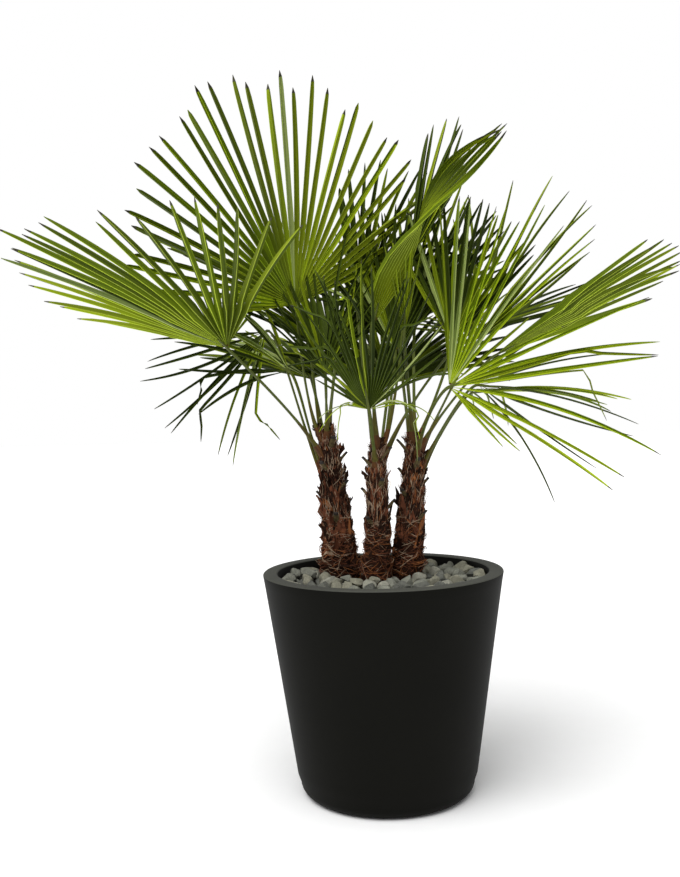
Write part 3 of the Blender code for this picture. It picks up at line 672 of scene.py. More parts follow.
@dataclass
class FibreStem:
    """A palm stem wrapped in matted fibre, with the cut stubs of old leaf stalks."""

    name: str
    foot: tuple[float, float, float]
    middle: tuple[float, float, float]
    top: tuple[float, float, float]
    foot_radius: float
    top_radius: float
    flare: float
    stubs: int
    seed: int
    buried: float = 0.046
    flare_reach: float = 0.030
    crown_start: float = 0.78
    crown_reach: float = 0.25
    sleeve_share: float = 0.55
    waist: float = 0.42
    tier: float = 0.042
    sleeve_top: float = 1.06
    sides: int = 72
    rings: int = 130
    torn: float = 0.12
    mats: int = 230
    fibres: int = 1700

    def axis(self, run: float) -> Vector:
        """Point of the stem's middle line as run goes from 0 at the foot to 1 at the top."""
        foot, middle, top = Vector(self.foot), Vector(self.middle), Vector(self.top)
        control = 2.0 * middle - 0.5 * (foot + top)
        return (1 - run) ** 2 * foot + 2 * run * (1 - run) * control + run**2 * top

    def radius(self, run: float) -> float:
        """Radius of the stem at a run."""
        height = run * (self.top[2] - self.foot[2])
        plain = self.foot_radius + (self.top_radius - self.foot_radius) * run
        flare = 1.0 + self.flare * math.exp(-max(0.0, height - self.buried) / self.flare_reach)
        crown = math.sqrt(max(0.0, 1.0 - max(0.0, (run - self.crown_start) / self.crown_reach) ** 2))
        return plain * flare * crown

    def wrapped_radius(self, run: float) -> float:
        """Radius of the stem's middle layer, which the outer wrapping builds up from."""
        return self.radius(run) * (1.0 - self.waist * run**1.2)

    def run_at(self, height: float) -> float:
        """Run of the stem at a height."""
        return min(1.0, max(0.0, (height - self.foot[2]) / (self.top[2] - self.foot[2])))

    def clearance(self, spot: Vector) -> float:
        """Distance from a point to the stem's side, below zero inside it."""
        run = self.run_at(spot.z)
        middle = self.axis(run)
        return math.hypot(spot.x - middle.x, spot.y - middle.y) - self.radius(run)

    def surface(self, run: float, angle: float) -> tuple[Vector, Vector]:
        """Point of the lumpy surface and the way out of it.

        Args:
            run: Place along the stem.
            angle: Place round it.

        Returns:
            The point and the outward direction.
        """
        centre = self.axis(run)
        outward = Vector((math.cos(angle), math.sin(angle), 0.0))
        lump = 1.0 + 0.10 * noise.noise(centre * 18 + outward * 1.7 + Vector((0, 0, self.seed)))
        lump += 0.12 * noise.noise(centre * 48 + outward * 3.0 + Vector((self.seed, 0, 0)))
        step = run * (self.top[2] - self.foot[2]) / self.tier + 1.6 * noise.noise(outward * 1.3 + centre * 6)
        lump += 0.28 * (step % 1.0) ** 2 - 0.10
        lean = angle * 2.6 + run * 9.0
        lump += 0.035 * noise.noise(Vector((lean * 3.0, run * 26.0, self.seed + 0.5 * math.sin(angle))))
        return centre + outward * self.wrapped_radius(run) * lump, outward

    def bark(self, draft: Draft) -> None:
        """Add the stem's body with the relief of its matted wrapping."""
        rows = []
        for ring in range(self.rings):
            run = ring / (self.rings - 1)
            row = []
            for side in range(self.sides):
                angle = math.tau * side / self.sides
                spot, outward = self.surface(run, angle)
                ridge = abs(noise.noise(Vector((math.cos(angle) * 9, math.sin(angle) * 9, run * 16 + self.seed))))
                row.append(spot + outward * (0.0022 * ridge - 0.0012))
            rows.append(row)
        draft.strip(rows, [0] * self.rings, closed=True, rate=0.05)
        draft.cap(rows[0], 0, flip=True)
        draft.cap(rows[-1], 0)

    def sleeve(self, run: float, angle: float) -> tuple[Vector, Vector]:
        """Point of the wrapping, which carries on past the stem's top round the foot of its stalks.

        Args:
            run: Place along the stem, up to a little over 1.
            angle: Place round it.

        Returns:
            The point and the outward direction.
        """
        spot, outward = self.surface(min(run, 1.0), angle)
        least = self.top_radius * self.sleeve_share
        middle = self.axis(run)
        away = max((spot - self.axis(min(run, 1.0))).length, least if run > self.crown_start else 0.0)
        return middle + outward * away, outward

    def mat(self, draft: Draft, draw: random.Random, run: float) -> None:
        """Add one torn sheet of matted fibre: the remains of a leaf sheath, which stands off at its top edge.

        Args:
            draft: The stem's mesh.
            draw: Source of chance.
            run: Place of its foot along the stem.
        """
        height = self.top[2] - self.foot[2]
        angle = draw.uniform(0, math.tau)
        half = draw.uniform(0.12, 0.46)
        tall = draw.uniform(0.026, 0.070) / height
        lift = draw.uniform(0.002, 0.008)
        if draw.random() < self.torn:
            half, lift = draw.uniform(0.07, 0.16), draw.uniform(0.013, 0.024)
        lean = draw.gauss(0.0, 0.35)
        tear = draw.uniform(0, 90)
        slot = draw.choices((0, 1, 2, 3, 4), (3, 6, 4, 0.8, 0.3))[0]
        columns, steps = 8, 6
        outer, inner = [], []
        for step in range(steps):
            share = step / (steps - 1)
            rows = ([], [])
            for column in range(columns):
                place = 2.0 * column / (columns - 1) - 1.0
                ragged = 1.0 + 0.42 * noise.noise(Vector((place * 4.5, tear, 0.0))) - 0.35 * place * place
                here = run + tall * share * ragged
                spot, outward = self.sleeve(min(here, self.sleeve_top), angle + half * place + lean * share)
                off = 0.0006 + lift * share * share * (1.0 - 0.5 * place * place)
                off += 0.0011 * noise.noise(Vector((place * 9.0, share * 2.0, tear)))
                rows[0].append(spot + outward * (off + 0.0005))
                rows[1].append(spot + outward * (off - 0.0005))
            outer.append(rows[0])
            inner.append(rows[1])
        draft.strip(outer, [slot] * steps, closed=False, rate=0.25)
        draft.strip(inner, [slot] * steps, closed=False, rate=0.25, reverse=True)

    def fibre(self, draft: Draft, draw: random.Random) -> None:
        """Add one loose strand that hugs the stem and lifts at its ends."""
        run = draw.uniform(0.05, 1.0)
        angle = draw.uniform(0, math.tau)
        length = draw.uniform(0.018, 0.056)
        slant = draw.gauss(0.0, 0.30) if run > 0.36 else draw.gauss(1.25, 0.35) * draw.choice((-1, 1))
        width = draw.uniform(0.0004, 0.0009) if run < 0.33 else draw.uniform(0.0004, 0.0010)
        low = run < 0.33
        slot = draw.choices(range(1, 5), (2, 5, 2.2, 1.8) if low else (2.5, 3, 0.5, 3.2))[0]
        lift = draw.uniform(0.001, 0.006)
        free = draw.random() < 0.22
        height = self.top[2] - self.foot[2]
        count = 5
        rows = []
        for step in range(count):
            share = step / (count - 1)
            along = (share - 0.5) * length
            here = min(self.sleeve_top, max(0.01, run + along * math.cos(slant) / height))
            turned = angle + along * math.sin(slant) / max(0.01, self.radius(here))
            spot, outward = self.sleeve(here, turned)
            curl = (share**2) * draw.uniform(0.004, 0.014) if free else 0.0
            tangent = UP * math.cos(slant) + outward.cross(UP) * -math.sin(slant)
            side = outward.cross(tangent).normalized()
            half = side * width * (1.0 - 0.75 * share**2)
            middle = spot + outward * (lift * math.sin(math.pi * share) + 0.0012 + curl)
            rows.append([middle - half, middle + outward * 0.0005, middle + half, middle - outward * 0.0005])
        draft.strip(rows, [slot] * count, closed=True, rate=0.25)

    def stub(self, draft: Draft, index: int) -> None:
        """Add the cut foot of an old leaf stalk, standing out from the stem, with its cut end."""
        draw = random.Random(self.seed * 31 + index)
        run = 0.30 + 0.56 * index / self.stubs
        angle = self.seed + index * GOLDEN_ANGLE
        outward = Vector((math.cos(angle), math.sin(angle), 0.0))
        across = UP.cross(outward)
        lean = (outward * 0.62 + UP * 0.78).normalized()
        foot = self.axis(run) + outward * self.wrapped_radius(run) * 0.62
        length = 0.050 * draw.uniform(0.85, 1.10)
        rows, slots = [], []
        for step in range(7):
            share = step / 6
            bend = lean.lerp(UP, 0.25 * (1 - share)).normalized()
            middle = foot + bend * length * share
            half = 0.0095 * (1.0 - 0.42 * share)
            depth = 0.0042 * (1.0 - 0.30 * share)
            flat = bend.cross(across).normalized()
            ring = []
            for corner in range(8):
                turn = math.tau * (corner + 0.5) / 8
                rough = 1.0 + 0.12 * noise.noise(Vector((corner * 1.7, share * 3, index + self.seed)))
                ring.append(middle + (across * half * math.cos(turn) + flat * depth * math.sin(turn)) * rough)
            rows.append(ring)
            slots.append(5 if step < 5 else 6)
        draft.strip(rows, slots, closed=True, rate=0.2)
        draft.cap(rows[-1], 6)

    def build(self, bark: list[bpy.types.Material]) -> bpy.types.Object:
        """Make the stem with its stubs and strands."""
        draft = Draft()
        draw = random.Random(self.seed)
        self.bark(draft)
        for index in range(self.stubs):
            self.stub(draft, index)
        for index in range(self.mats):
            self.mat(draft, draw, 0.14 + 0.80 * (index + draw.random()) / self.mats)
        for _ in range(self.fibres):
            self.fibre(draft, draw)
        piece = draft.build(f"{self.name}_bark", bark, 50)
        return settled(piece, [self.name])


# Fronds


@dataclass(frozen=True)
class FrondPlan:
    """A frond: where its stalk leaves its stem, where its fan starts, and how the fan is turned and cut.

    Angles are in degrees. Azimuth 0 points along +X and 90 along +Y, and twist turns the blade about its rib.
    low_side and high_side are the lengths of the outer segments, against the rib's. lean is the angle from the
    rib to the middle of the spread, and wring how far the blade turns about its rib on the way to the tips.
    droop and bow are how far the tips sink, and how far they bend forwards, against the length.
    """

    name: str
    stem: int
    stalk_height: float
    hub: tuple[float, float, float]
    azimuth: float
    elevation: float
    twist: float
    spread: float
    length: float
    low_side: float = 0.75
    high_side: float = 0.75
    cup: float = 6.0
    droop: float = 0.05
    gather: float = 0.0
    lean: float = 0.0
    wring: float = 0.0
    bow: float = 0.0


class Mood(Enum):
    """How the segments of a frond share out the greens: olive, a bright green that is partly painted light through
    the leaf, a dark green that is painted shade, and a pale green that is partly a painted sheen. DUSK, SHADED and
    DARK lean most on the painted shade.
    """

    MATURE = (7, 2.6, 0, 0.5)
    BRIGHT = (3.5, 6, 0.3, 0.5)
    EVEN = (8, 1.5, 0, 0)
    DUSK = (0.8, 0.1, 8, 0.3)
    SHADED = (3.0, 0.6, 6, 0.5)
    DARK = (1.4, 0.2, 7, 0.5)


Spans = tuple[tuple[float, float], ...]


def within(angle: float, spans: Spans) -> bool:
    """Whether an angle in radians lies in one of the spans, which are in degrees."""
    return any(low < math.degrees(angle) < high for low, high in spans)


@dataclass(frozen=True)
class Habit:
    """How a frond has grown and is coloured: its greens with their painted light and shade, how far its segments stay
    joined, and where they hang or are lost.

    extra is what the spread gains on each side in degrees against the plan's, below zero in a fan that has only
    half opened. web is the joined share of the length at the rib and web_slope its gain for each degree from it.
    kept is the share of segments that are there, and taper how much of its width a segment loses before its tip,
    which is blunter as blunt grows. width is that of the free segments against what the fan gives them, and
    sway how far they stray to the side, in radians. bare and limp are spans of the angle from the rib, in degrees:
    segments are broken off short in the first, and hang in the second, where limp_kept of them are left and
    their tips sink by about limp_sag of their length. limp_girth is their width against the others'.
    """

    mood: Mood = Mood.MATURE
    extra: float = 0.0
    web: float = 0.33
    web_slope: float = 0.0
    kept: float = 1.0
    bent: float = 0.03
    step: float = 5.0
    taper: float = 0.36
    blunt: float = 9.0
    width: float = 0.9
    sway: float = 0.020
    bare: Spans = ()
    limp: Spans = ()
    limp_kept: float = 0.65
    limp_sag: float = 0.04
    limp_girth: float = 1.35


@dataclass
class Frond:
    """A frond's stalk and pleated fan, built of single folded segments that join near the hub."""

    plan: FrondPlan
    stem: FibreStem
    habit: Habit
    seed: int
    hub_start: float = 0.014
    stalk_depth: float = 0.50
    stalk_rise: float = 0.30
    stalk_bend: float = 0.12
    foot_radius: float = 0.0105
    neck_radius: float = 0.0037
    fold: float = math.radians(55)
    closed_fold: float = math.radians(58)
    thickness: float = 0.0011
    web_rows: int = 8
    row_growth: float = 1.5
    free_rows: int = 12
    tip_rows: float = 1.35
    full_at: float = 0.36
    most_growth: float = 1.7
    forward: Vector = field(init=False)
    along: Vector = field(init=False)
    across: Vector = field(init=False)
    face: Vector = field(init=False)

    def __post_init__(self) -> None:
        """Work out the fan's directions: forwards on the level, along its rib, across it and out of its face."""
        azimuth, elevation, twist = (
            math.radians(v) for v in (self.plan.azimuth, self.plan.elevation, self.plan.twist))
        flat = Vector((math.cos(azimuth), math.sin(azimuth), 0.0))
        self.forward = flat
        self.along = flat * math.cos(elevation) + UP * math.sin(elevation)
        upright = UP * math.cos(elevation) - flat * math.sin(elevation)
        self.face = upright * math.cos(twist) + upright.cross(self.along) * math.sin(twist)
        self.across = self.face.cross(self.along)

    def wrung(self, run: float) -> tuple[Vector, Vector]:
        """Directions across the fan and out of its face at a run, once it has turned about its rib."""
        turn = math.radians(self.plan.wring) * run
        return (self.across * math.cos(turn) + self.face * math.sin(turn),
                self.face * math.cos(turn) - self.across * math.sin(turn))

    def point(self, angle: float, length: float, run: float) -> Vector:
        """Point of a segment's line. The segments of a gathered fan curve in towards the rib.

        Args:
            angle: Angle from the rib.
            length: Length of the segment.
            run: Place along it from 0 at the hub to 1 at the tip.

        Returns:
            The point.
        """
        turn = angle * self.plan.gather
        if abs(turn) < 1e-4:
            ahead, aside = run * math.cos(angle), run * math.sin(angle)
        else:
            last = angle - turn * run
            ahead = (math.sin(angle) - math.sin(last)) / turn
            aside = (math.cos(last) - math.cos(angle)) / turn
        cup = math.radians(self.plan.cup)
        side, face = self.wrung(run)
        offset = self.along * ahead + side * aside * math.cos(cup) + face * abs(aside) * math.sin(cup)
        bend = self.forward * self.plan.bow - UP * self.plan.droop
        return Vector(self.plan.hub) + offset * length + bend * length * run * run

    def length_at(self, angle: float) -> float:
        """Length of the segment at an angle from the rib."""
        half = 0.5 * self.plan.spread
        if angle > 0:
            edge, side = half + self.plan.lean, self.plan.high_side
        else:
            edge, side = half - self.plan.lean, self.plan.low_side
        return self.plan.length * (1.0 - (1.0 - side) * min(1.0, abs(angle) / math.radians(edge)) ** 2)

    def joined_rows(self, middle: float, half: float, web: float) -> tuple[list[list[Vector]], float]:
        """Rows of a segment from the hub to the web's edge, where it shares its edges with its neighbours.

        Args:
            middle: Angle of the segment's fold from the rib.
            half: Half the angle that it takes up.
            web: Joined share of the length.

        Returns:
            The rows and half the flat width at the last one.
        """
        rows = []
        edge_half = 0.0
        for index in range(self.web_rows):
            run = self.hub_start + (web - self.hub_start) * (index / (self.web_rows - 1)) ** self.row_growth
            left = self.point(middle - half, self.length_at(middle - half), run)
            right = self.point(middle + half, self.length_at(middle + half), run)
            crease = self.point(middle, self.length_at(middle), run)
            edge_half = 0.5 * (right - left).length
            depth = edge_half * math.tan(self.fold) * min(1.0, run / 0.12)
            normal = (right - left).cross(crease - Vector(self.plan.hub)).normalized()
            normal = normal if normal.dot(self.wrung(run)[1]) > 0 else -normal
            top = 0.5 * (left + right) - normal * depth
            rows.append([left, top + normal * self.thickness * 0.5, right, top - normal * self.thickness * 0.5])
        return rows, edge_half / math.cos(self.fold)

    def segment(self, draft: Draft, middle: float, half: float, draw: random.Random) -> None:
        """Add one folded segment: a V, joined to its neighbours up to the web's edge and free beyond.

        Args:
            draft: The frond's mesh.
            middle: Angle of the segment's fold from the rib.
            half: Half the angle that it takes up.
            draw: Source of chance.
        """
        habit, length = self.habit, self.length_at(middle)
        hangs, lost = within(middle, habit.limp), within(middle, habit.bare)
        stretch = draw.uniform(0.42, 0.62) if lost else 1.0 + draw.uniform(-0.05, 0.03)
        web = min(0.7, max(0.15, habit.web + habit.web_slope * math.degrees(middle)))
        web *= 1.0 + draw.uniform(-0.14, 0.10)
        sway = draw.gauss(0.0, habit.sway * (2.0 if hangs else 1.0))
        sag = max(-0.02, draw.gauss(habit.limp_sag if hangs else 0.012, 0.03 if hangs else 0.018))
        roll = draw.gauss(0.0, 0.9 if hangs else 0.45)
        kink = draw.uniform(0.50, 0.75) if draw.random() < (0.15 if hangs else habit.bent) else 2.0
        kink_turn = draw.uniform(0.3, 0.6) if hangs else draw.uniform(0.5, 1.3)
        slot = draw.choices(range(4), (2.0, 3.0, 0.4, 3.0) if hangs else habit.mood.value)[0]
        girth = habit.width * (habit.limp_girth if hangs else 1.0)
        dry = draw.uniform(0.94, 0.985)
        rows, flat_half = self.joined_rows(middle, half, web)
        slots = [4 if index == 0 else slot for index in range(len(rows))]
        before = self.point(middle, length, web)
        for index in range(1, self.free_rows + 1):
            share = 1.0 - (1.0 - index / self.free_rows) ** self.tip_rows
            reach = web + (stretch - web) * share
            spot = self.point(middle + sway * share, length, reach) - UP * sag * length * share * share
            if reach > kink:
                pivot = self.point(middle + sway * share, length, kink)
                hinge = (spot - pivot).cross(UP)
                if hinge.length > 1e-6:
                    bend = kink_turn * min(1.0, (reach - kink) / 0.10)
                    spot = pivot + Quaternion(hinge.normalized(), -bend) @ (spot - pivot)
            tangent = (spot - before).normalized()
            across, face = self.wrung(reach)
            side = face.cross(tangent).normalized()
            side = side if side.dot(across) > 0 else -side
            normal = tangent.cross(side).normalized()
            normal = normal if normal.dot(face) > 0 else -normal
            turn = Quaternion(tangent, roll * share)
            side, normal = turn @ side, turn @ normal
            fold = self.fold + (self.closed_fold - self.fold) * min(1.0, share * 3.0)
            swell = 1.0 + 0.18 * math.sin(math.pi * min(1.0, 1.15 * share))
            swell *= 1.0 + (girth - 1.0) * min(1.0, 3.0 * share)
            width = flat_half * min(self.most_growth, reach / web, max(1.0, self.full_at / web))
            width = width * swell * (1.0 - habit.taper * share) * (1.0 - share**habit.blunt) ** 0.7 + 0.0008
            wing, depth = width * math.cos(fold), width * math.sin(fold)
            low = spot - normal * depth * 0.7
            high = spot + normal * depth * 0.3
            rows.append([high - side * wing, low + normal * self.thickness * 0.5,
                         high + side * wing, low - normal * self.thickness * 0.5])
            slots.append(5 if reach > dry * stretch else slot)
            before = spot
        self.close_segment(draft, rows, slots)

    def close_segment(self, draft: Draft, rows: list[list[Vector]], slots: list[int]) -> None:
        """Add a segment's upper and lower skins."""
        draft.strip([row[:3] for row in rows], slots, closed=False, rate=0.06, reverse=True)
        draft.strip([[row[0], row[3], row[2]] for row in rows], slots, closed=False, rate=0.06)

    def stalk_line(self) -> list[Vector]:
        """Points of the stalk's middle line, from inside its stem to a little way along the fan's rib.

        Returns:
            The points in order.
        """
        run = self.stem.run_at(self.plan.stalk_height)
        middle = self.stem.axis(run)
        hub = Vector(self.plan.hub)
        outward = hub - middle
        outward.z = 0.0
        outward.normalize()
        start = middle + outward * self.stalk_depth * self.stem.radius(run)
        span = (hub - start).length
        leave = (outward * 0.55 + UP).normalized()
        first = start + leave * span * self.stalk_rise
        second = hub - self.along * span * self.stalk_bend
        line = []
        for step in range(25):
            t = step / 24
            line.append((1 - t) ** 3 * start + 3 * (1 - t) ** 2 * t * first + 3 * (1 - t) * t**2 * second
                        + t**3 * hub)
        line.append(hub + self.along * 0.028 - self.face * 0.002)
        line.append(hub + self.along * 0.055 - self.face * 0.004)
        return line

    def stalk(self, draft: Draft) -> None:
        """Add the stalk: a slender tube, flat above and widened where it clasps the stem."""
        line = self.stalk_line()
        count = len(line)
        rows, slots = [], []
        for index, spot in enumerate(line):
            ahead = line[min(index + 1, count - 1)] - line[max(index - 1, 0)]
            ahead.normalize()
            share = min(1.0, index / 24)
            round_stem = UP.cross(spot - self.stem.axis(1.0))
            side = round_stem.normalized().lerp(self.across, share) if round_stem.length > 1e-6 else self.across
            side = (side - ahead * side.dot(ahead)).normalized()
            flat = ahead.cross(side).normalized()
            radius = self.neck_radius + (self.foot_radius - self.neck_radius) * max(0.0, 1 - 2.8 * share) ** 1.5
            if index > 24:
                radius = self.neck_radius * (0.75 if index == 25 else 0.3)
            ring = []
            for corner in range(10):
                turn = math.tau * corner / 10
                depth = 0.72 if math.sin(turn) > 0 else 0.9
                ring.append(spot + side * radius * 1.12 * math.cos(turn) + flat * radius * depth * math.sin(turn))
            rows.append(ring)
            slots.append(8 if share < 0.09 else 7 if share < 0.28 else 6)
        draft.strip(rows, slots, closed=True, rate=0.08)
        draft.cap(rows[-1], 6)

    def build(self, finishes: list[bpy.types.Material]) -> bpy.types.Object:
        """Make the frond."""
        draw = random.Random(self.seed)
        draft = Draft()
        spread = self.plan.spread + 2.0 * self.habit.extra
        count = max(5, round(spread / self.habit.step))
        whole = math.radians(spread)
        for index in range(count):
            middle = whole * ((index + 0.5) / count - 0.5) + math.radians(self.plan.lean)
            left = self.habit.limp_kept if within(middle, self.habit.limp) else 1.0
            if draw.random() < self.habit.kept * left:
                self.segment(draft, middle, 0.5 * whole / count, draw)
        self.stalk(draft)
        piece = draft.build(f"{self.plan.name}_leaf", finishes, 32)
        return settled(piece, [self.plan.name])


LEFT, MIDDLE, RIGHT = range(3)

SOIL_TOP = 0.5093
STEMS = (
    FibreStem("stem_left", (-0.104, 0.050, SOIL_TOP), (-0.122, 0.050, 0.750), (-0.136, 0.048, 0.915),
              0.042, 0.027, 0.20, 9, 11),
    FibreStem("stem_middle", (-0.018, -0.022, SOIL_TOP), (-0.009, -0.022, 0.740), (-0.009, -0.020, 0.880),
              0.031, 0.021, 0.15, 7, 23, mats=170, fibres=1200),
    FibreStem("stem_right", (0.056, 0.020, SOIL_TOP), (0.080, 0.020, 0.745), (0.086, 0.018, 0.890),
              0.036, 0.025, 0.12, 8, 37, mats=200, fibres=1500),
)

FRONDS = (
    (FrondPlan("frond_left_tall", LEFT, 0.86, (-0.205, 0.020, 1.230), -124, 73, 106, 165, 0.580,
               0.78, 0.76, 5, 0.02), Habit(web=0.22, bent=0.0, taper=0.10, blunt=30.0, width=0.76,
                                      bare=((74, 83),))),
    (FrondPlan("frond_left_low", LEFT, 0.80, (-0.361, -0.121, 1.117), -105, 22, -2, 118, 0.640,
               0.55, 0.79, 14, 0.047, lean=-20), Habit(Mood.BRIGHT, web=0.28, web_slope=0.0010, bent=0.0, taper=0.22,
                                                         width=0.62)),
    (FrondPlan("frond_right_front", RIGHT, 0.80, (0.163, -0.200, 1.007), -25, 20, -96, 140, 0.500,
               0.66, 0.85, 4, 0.05), Habit(Mood.BRIGHT, web=0.18, kept=0.93, width=0.52, sway=0.03, limp=((-57, 0),),
                                                bare=((6, 22), (-70, -57)))),
    (FrondPlan("frond_right_far", RIGHT, 0.83, (0.285, -0.049, 1.084), -19.5, 29, 5.5, 75, 0.500,
               1.00, 1.00, 0, 0.03, lean=10), Habit(Mood.EVEN, web=0.45, bent=0.0, taper=0.20, width=0.5,
                                                    limp=((30, 50),))),
    (FrondPlan("frond_middle_folded", MIDDLE, 0.85, (-0.011, -0.140, 1.160), -33, 68.4, 64, 46, 0.572,
               1.00, 1.00, 0, 0.202, 1.90, wring=191, bow=0.237), Habit(Mood.EVEN, web=0.50, bent=0.0, step=4.4,
                                                                        taper=0.10, width=0.6)),
    (FrondPlan("frond_upright_tuft", MIDDLE, 0.83, (0.092, 0.045, 1.350), 0, 69, 80, 34, 0.360,
               0.85, 0.85, 5, 0.00, 0.30), Habit(Mood.SHADED, web=0.45, bent=0.0, step=4.2, taper=0.15, width=0.7)),
    (FrondPlan("frond_front_middle", MIDDLE, 0.78, (-0.024, -0.100, 0.960), -110, 70, 0, 150, 0.370,
               0.50, 0.50, 26, 0.02), Habit(Mood.DUSK, extra=16, web=0.20, bent=0.1, width=0.7, sway=0.13,
                                        limp=((-92, -74), (64, 92)), limp_kept=0.8, limp_sag=0.7, limp_girth=0.5)),
    (FrondPlan("frond_front_small", RIGHT, 0.86, (0.064, -0.140, 1.134), -80, 80, -6, 70, 0.230,
               0.80, 0.80, 14, 0.04), Habit(extra=-21, web=0.30, bent=0.1, step=4.0, taper=0.15, width=0.75)),
    (FrondPlan("frond_left_drooping", LEFT, 0.74, (-0.292, 0.095, 1.170), 178, -46, 84, 94, 0.350,
               0.85, 0.85, 5, 0.04), Habit(Mood.DARK, web=0.20, kept=0.5, bent=0.15, width=0.8, sway=0.09)),
    (FrondPlan("frond_left_inner", LEFT, 0.88, (-0.132, -0.015, 1.050), 110, 76, 0, 48, 0.450,
               0.75, 0.75, 9, 0.03), Habit(Mood.SHADED, extra=24, web=0.15, kept=0.8, bent=0.06, width=0.7,
                                       sway=0.09)),
    (FrondPlan("frond_left_back", LEFT, 0.83, (-0.210, 0.155, 1.238), 160, 30, 0, 130, 0.460,
               0.75, 0.75, 8, 0.06), Habit(Mood.SHADED)),
    (FrondPlan("frond_right_back", RIGHT, 0.79, (0.263, 0.190, 1.138), -28, 67, 90, 80, 0.481,
               0.70, 0.68, 3, 0.00, 0.10, lean=5), Habit(kept=0.85, width=0.55, sway=0.04)),
    (FrondPlan("frond_right_upright", RIGHT, 0.83, (0.100, 0.145, 1.170), 60, 68, 0, 90, 0.440,
               0.75, 0.75, 8, 0.03), Habit(Mood.SHADED)),
    (FrondPlan("frond_right_drooping", RIGHT, 0.76, (0.255, 0.050, 1.016), -10, -8, 72, 120, 0.400,
               0.75, 0.75, 5, 0.06), Habit(Mood.DARK, web=0.15, kept=0.45, bent=0.15, width=0.6, sway=0.09)),
    (FrondPlan("frond_left_centre", LEFT, 0.77, (-0.228, 0.042, 1.064), 180, 30, 75, 90, 0.320,
               0.75, 0.75, 8, 0.10), Habit(Mood.DARK, web=0.24, kept=0.6, bent=0.1, sway=0.07)),
    (FrondPlan("frond_middle_inner", MIDDLE, 0.74, (0.046, 0.105, 1.110), 85, 80, 0, 84, 0.420,
               0.75, 0.75, 9, 0.03), Habit(Mood.SHADED)),
    (FrondPlan("frond_right_inner", RIGHT, 0.87, (0.190, 0.050, 1.125), 70, 87, 0, 80, 0.400,
               0.75, 0.75, 9, 0.03, lean=-10), Habit(Mood.SHADED)),
    (FrondPlan("frond_back_middle", MIDDLE, 0.81, (-0.050, 0.150, 1.240), 80, 72, 0, 72, 0.440,
               0.75, 0.75, 10, 0.03, lean=-24), Habit(Mood.SHADED)),
    (FrondPlan("frond_back_left_tall", LEFT, 0.87, (-0.120, 0.270, 1.120), 108, 52, 0, 120, 0.460,
               0.75, 0.75, 8, 0.08), Habit(Mood.SHADED)),
    (FrondPlan("frond_back_left_low", LEFT, 0.75, (-0.190, 0.320, 1.050), 104, 28, 0, 120, 0.480,
               0.75, 0.75, 6, 0.12), Habit(Mood.SHADED)),
    (FrondPlan("frond_back_low", MIDDLE, 0.71, (0.030, 0.300, 1.030), 85, 40, 0, 150, 0.500,
               0.75, 0.75, 6, 0.12), Habit(Mood.SHADED)),
    (FrondPlan("frond_back_tall", RIGHT, 0.765, (0.060, 0.290, 1.190), 80, 46, 0, 130, 0.460,
               0.75, 0.75, 8, 0.05), Habit(Mood.SHADED)),
    (FrondPlan("frond_back_right", MIDDLE, 0.77, (0.250, 0.320, 1.160), 50, 26, 0, 150, 0.500,
               0.75, 0.75, 6, 0.08), Habit(Mood.SHADED, web=0.15, kept=0.6, width=0.7, sway=0.05)),
    (FrondPlan("frond_back_right_low", RIGHT, 0.71, (0.260, 0.230, 1.000), 35, 5, 0, 140, 0.480,
               0.72, 0.72, 6, 0.16), Habit(Mood.DARK, web=0.12, width=0.6, sway=0.06, limp=((-70, 70),),
                                           limp_kept=0.4)),
)


# Studio


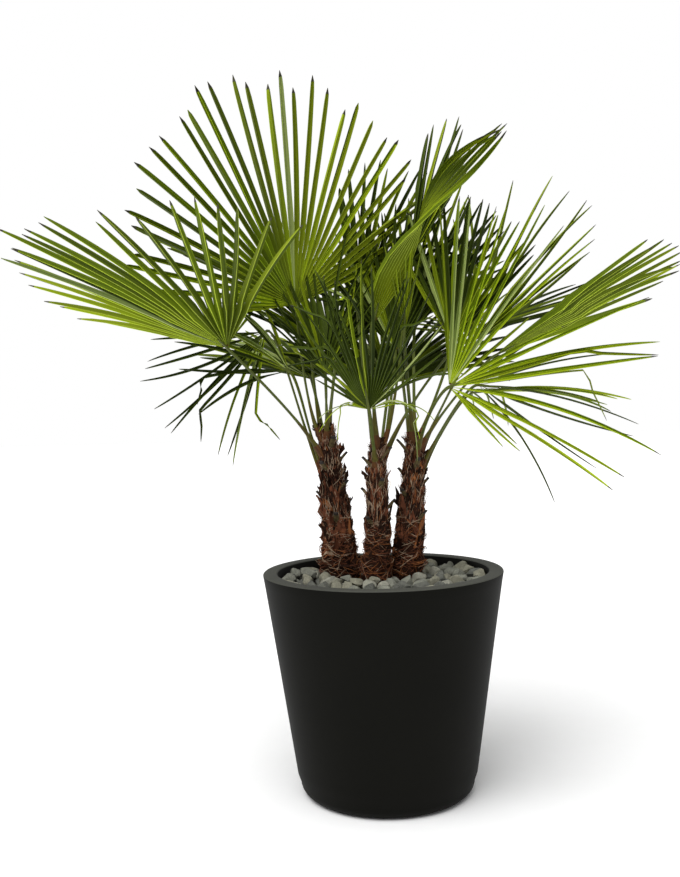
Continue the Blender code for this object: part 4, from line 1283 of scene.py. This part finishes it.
@dataclass
class Studio:
    """A pale floor, soft light from all round and above left, and the camera."""

    floor_half: float = 30.0
    world_strength: float = 0.50
    key_strength: float = 3.0
    key_angle: float = math.radians(55)
    lens: float = 36.0 * 992.0 / 877.0

    def floor(self) -> None:
        """Lay the floor."""
        half = self.floor_half
        draft = Draft()
        draft.strip([[Vector((-half, -half, 0)), Vector((half, -half, 0))],
                     [Vector((-half, half, 0)), Vector((half, half, 0))]], [0, 0], closed=False)
        made = draft.build("studio_floor", [FLOOR.build()], 50)
        made.location.z = -0.0005

    def world(self) -> None:
        """Light the room evenly, and show it to the camera as plain white."""
        world = bpy.data.worlds.new("studio_world")
        bpy.context.scene.world = world
        world.use_nodes = True
        nodes, links = world.node_tree.nodes, world.node_tree.links
        path = nodes.new("ShaderNodeLightPath")
        level = nodes.new("ShaderNodeMapRange")
        level.inputs["To Min"].default_value = self.world_strength
        level.inputs["To Max"].default_value = 1.0
        links.new(path.outputs["Is Camera Ray"], level.inputs["Value"])
        nodes["Background"].inputs["Color"].default_value = (1.0, 1.0, 1.0, 1.0)
        links.new(level.outputs[0], nodes["Background"].inputs["Strength"])

    def key(self) -> None:
        """Hang the broad key light, high on the left of the camera."""
        light = bpy.data.lights.new("key", "SUN")
        light.energy = self.key_strength
        light.angle = self.key_angle
        made = bpy.data.objects.new("key", light)
        made.rotation_mode = "QUATERNION"
        made.rotation_quaternion = KEY_RUN.to_track_quat("-Z", "Y")
        bpy.context.scene.collection.objects.link(made)

    def build(self) -> None:
        """Make the studio."""
        self.floor()
        self.world()
        self.key()
        camera = bpy.data.cameras.new("camera")
        camera.lens = self.lens
        camera.sensor_width = 36.0
        made = bpy.data.objects.new("camera", camera)
        bpy.context.scene.collection.objects.link(made)
        made.matrix_world = (
            Matrix.Translation((0.0, -2.50, 0.959)) @ Matrix.Rotation(0.0399, 4, "Z")
            @ Matrix.Rotation(math.pi / 2 - 0.028, 4, "X") @ Matrix.Rotation(-0.0253, 4, "Z"))
        bpy.context.scene.camera = made
        bpy.context.scene.view_settings.view_transform = "Standard"


def main() -> None:
    """Build every piece of the scene in order."""
    logging.basicConfig(level=logging.INFO, format="%(name)s: %(message)s")
    Pot().build()
    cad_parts["soil"].material_slots[0].material = SOIL.build()
    bark = [finish.value.build() for finish in Bark]
    for stem in STEMS:
        stem.build(bark)
    PebbleBed().build(list(STEMS))
    leaf = [finish.value.build() for finish in Leaf]
    for index, (plan, habit) in enumerate(FRONDS):
        Frond(plan, STEMS[plan.stem], habit, seed=100 + index).build(leaf)
    Studio().build()


if __name__ == "__main__":
    main()
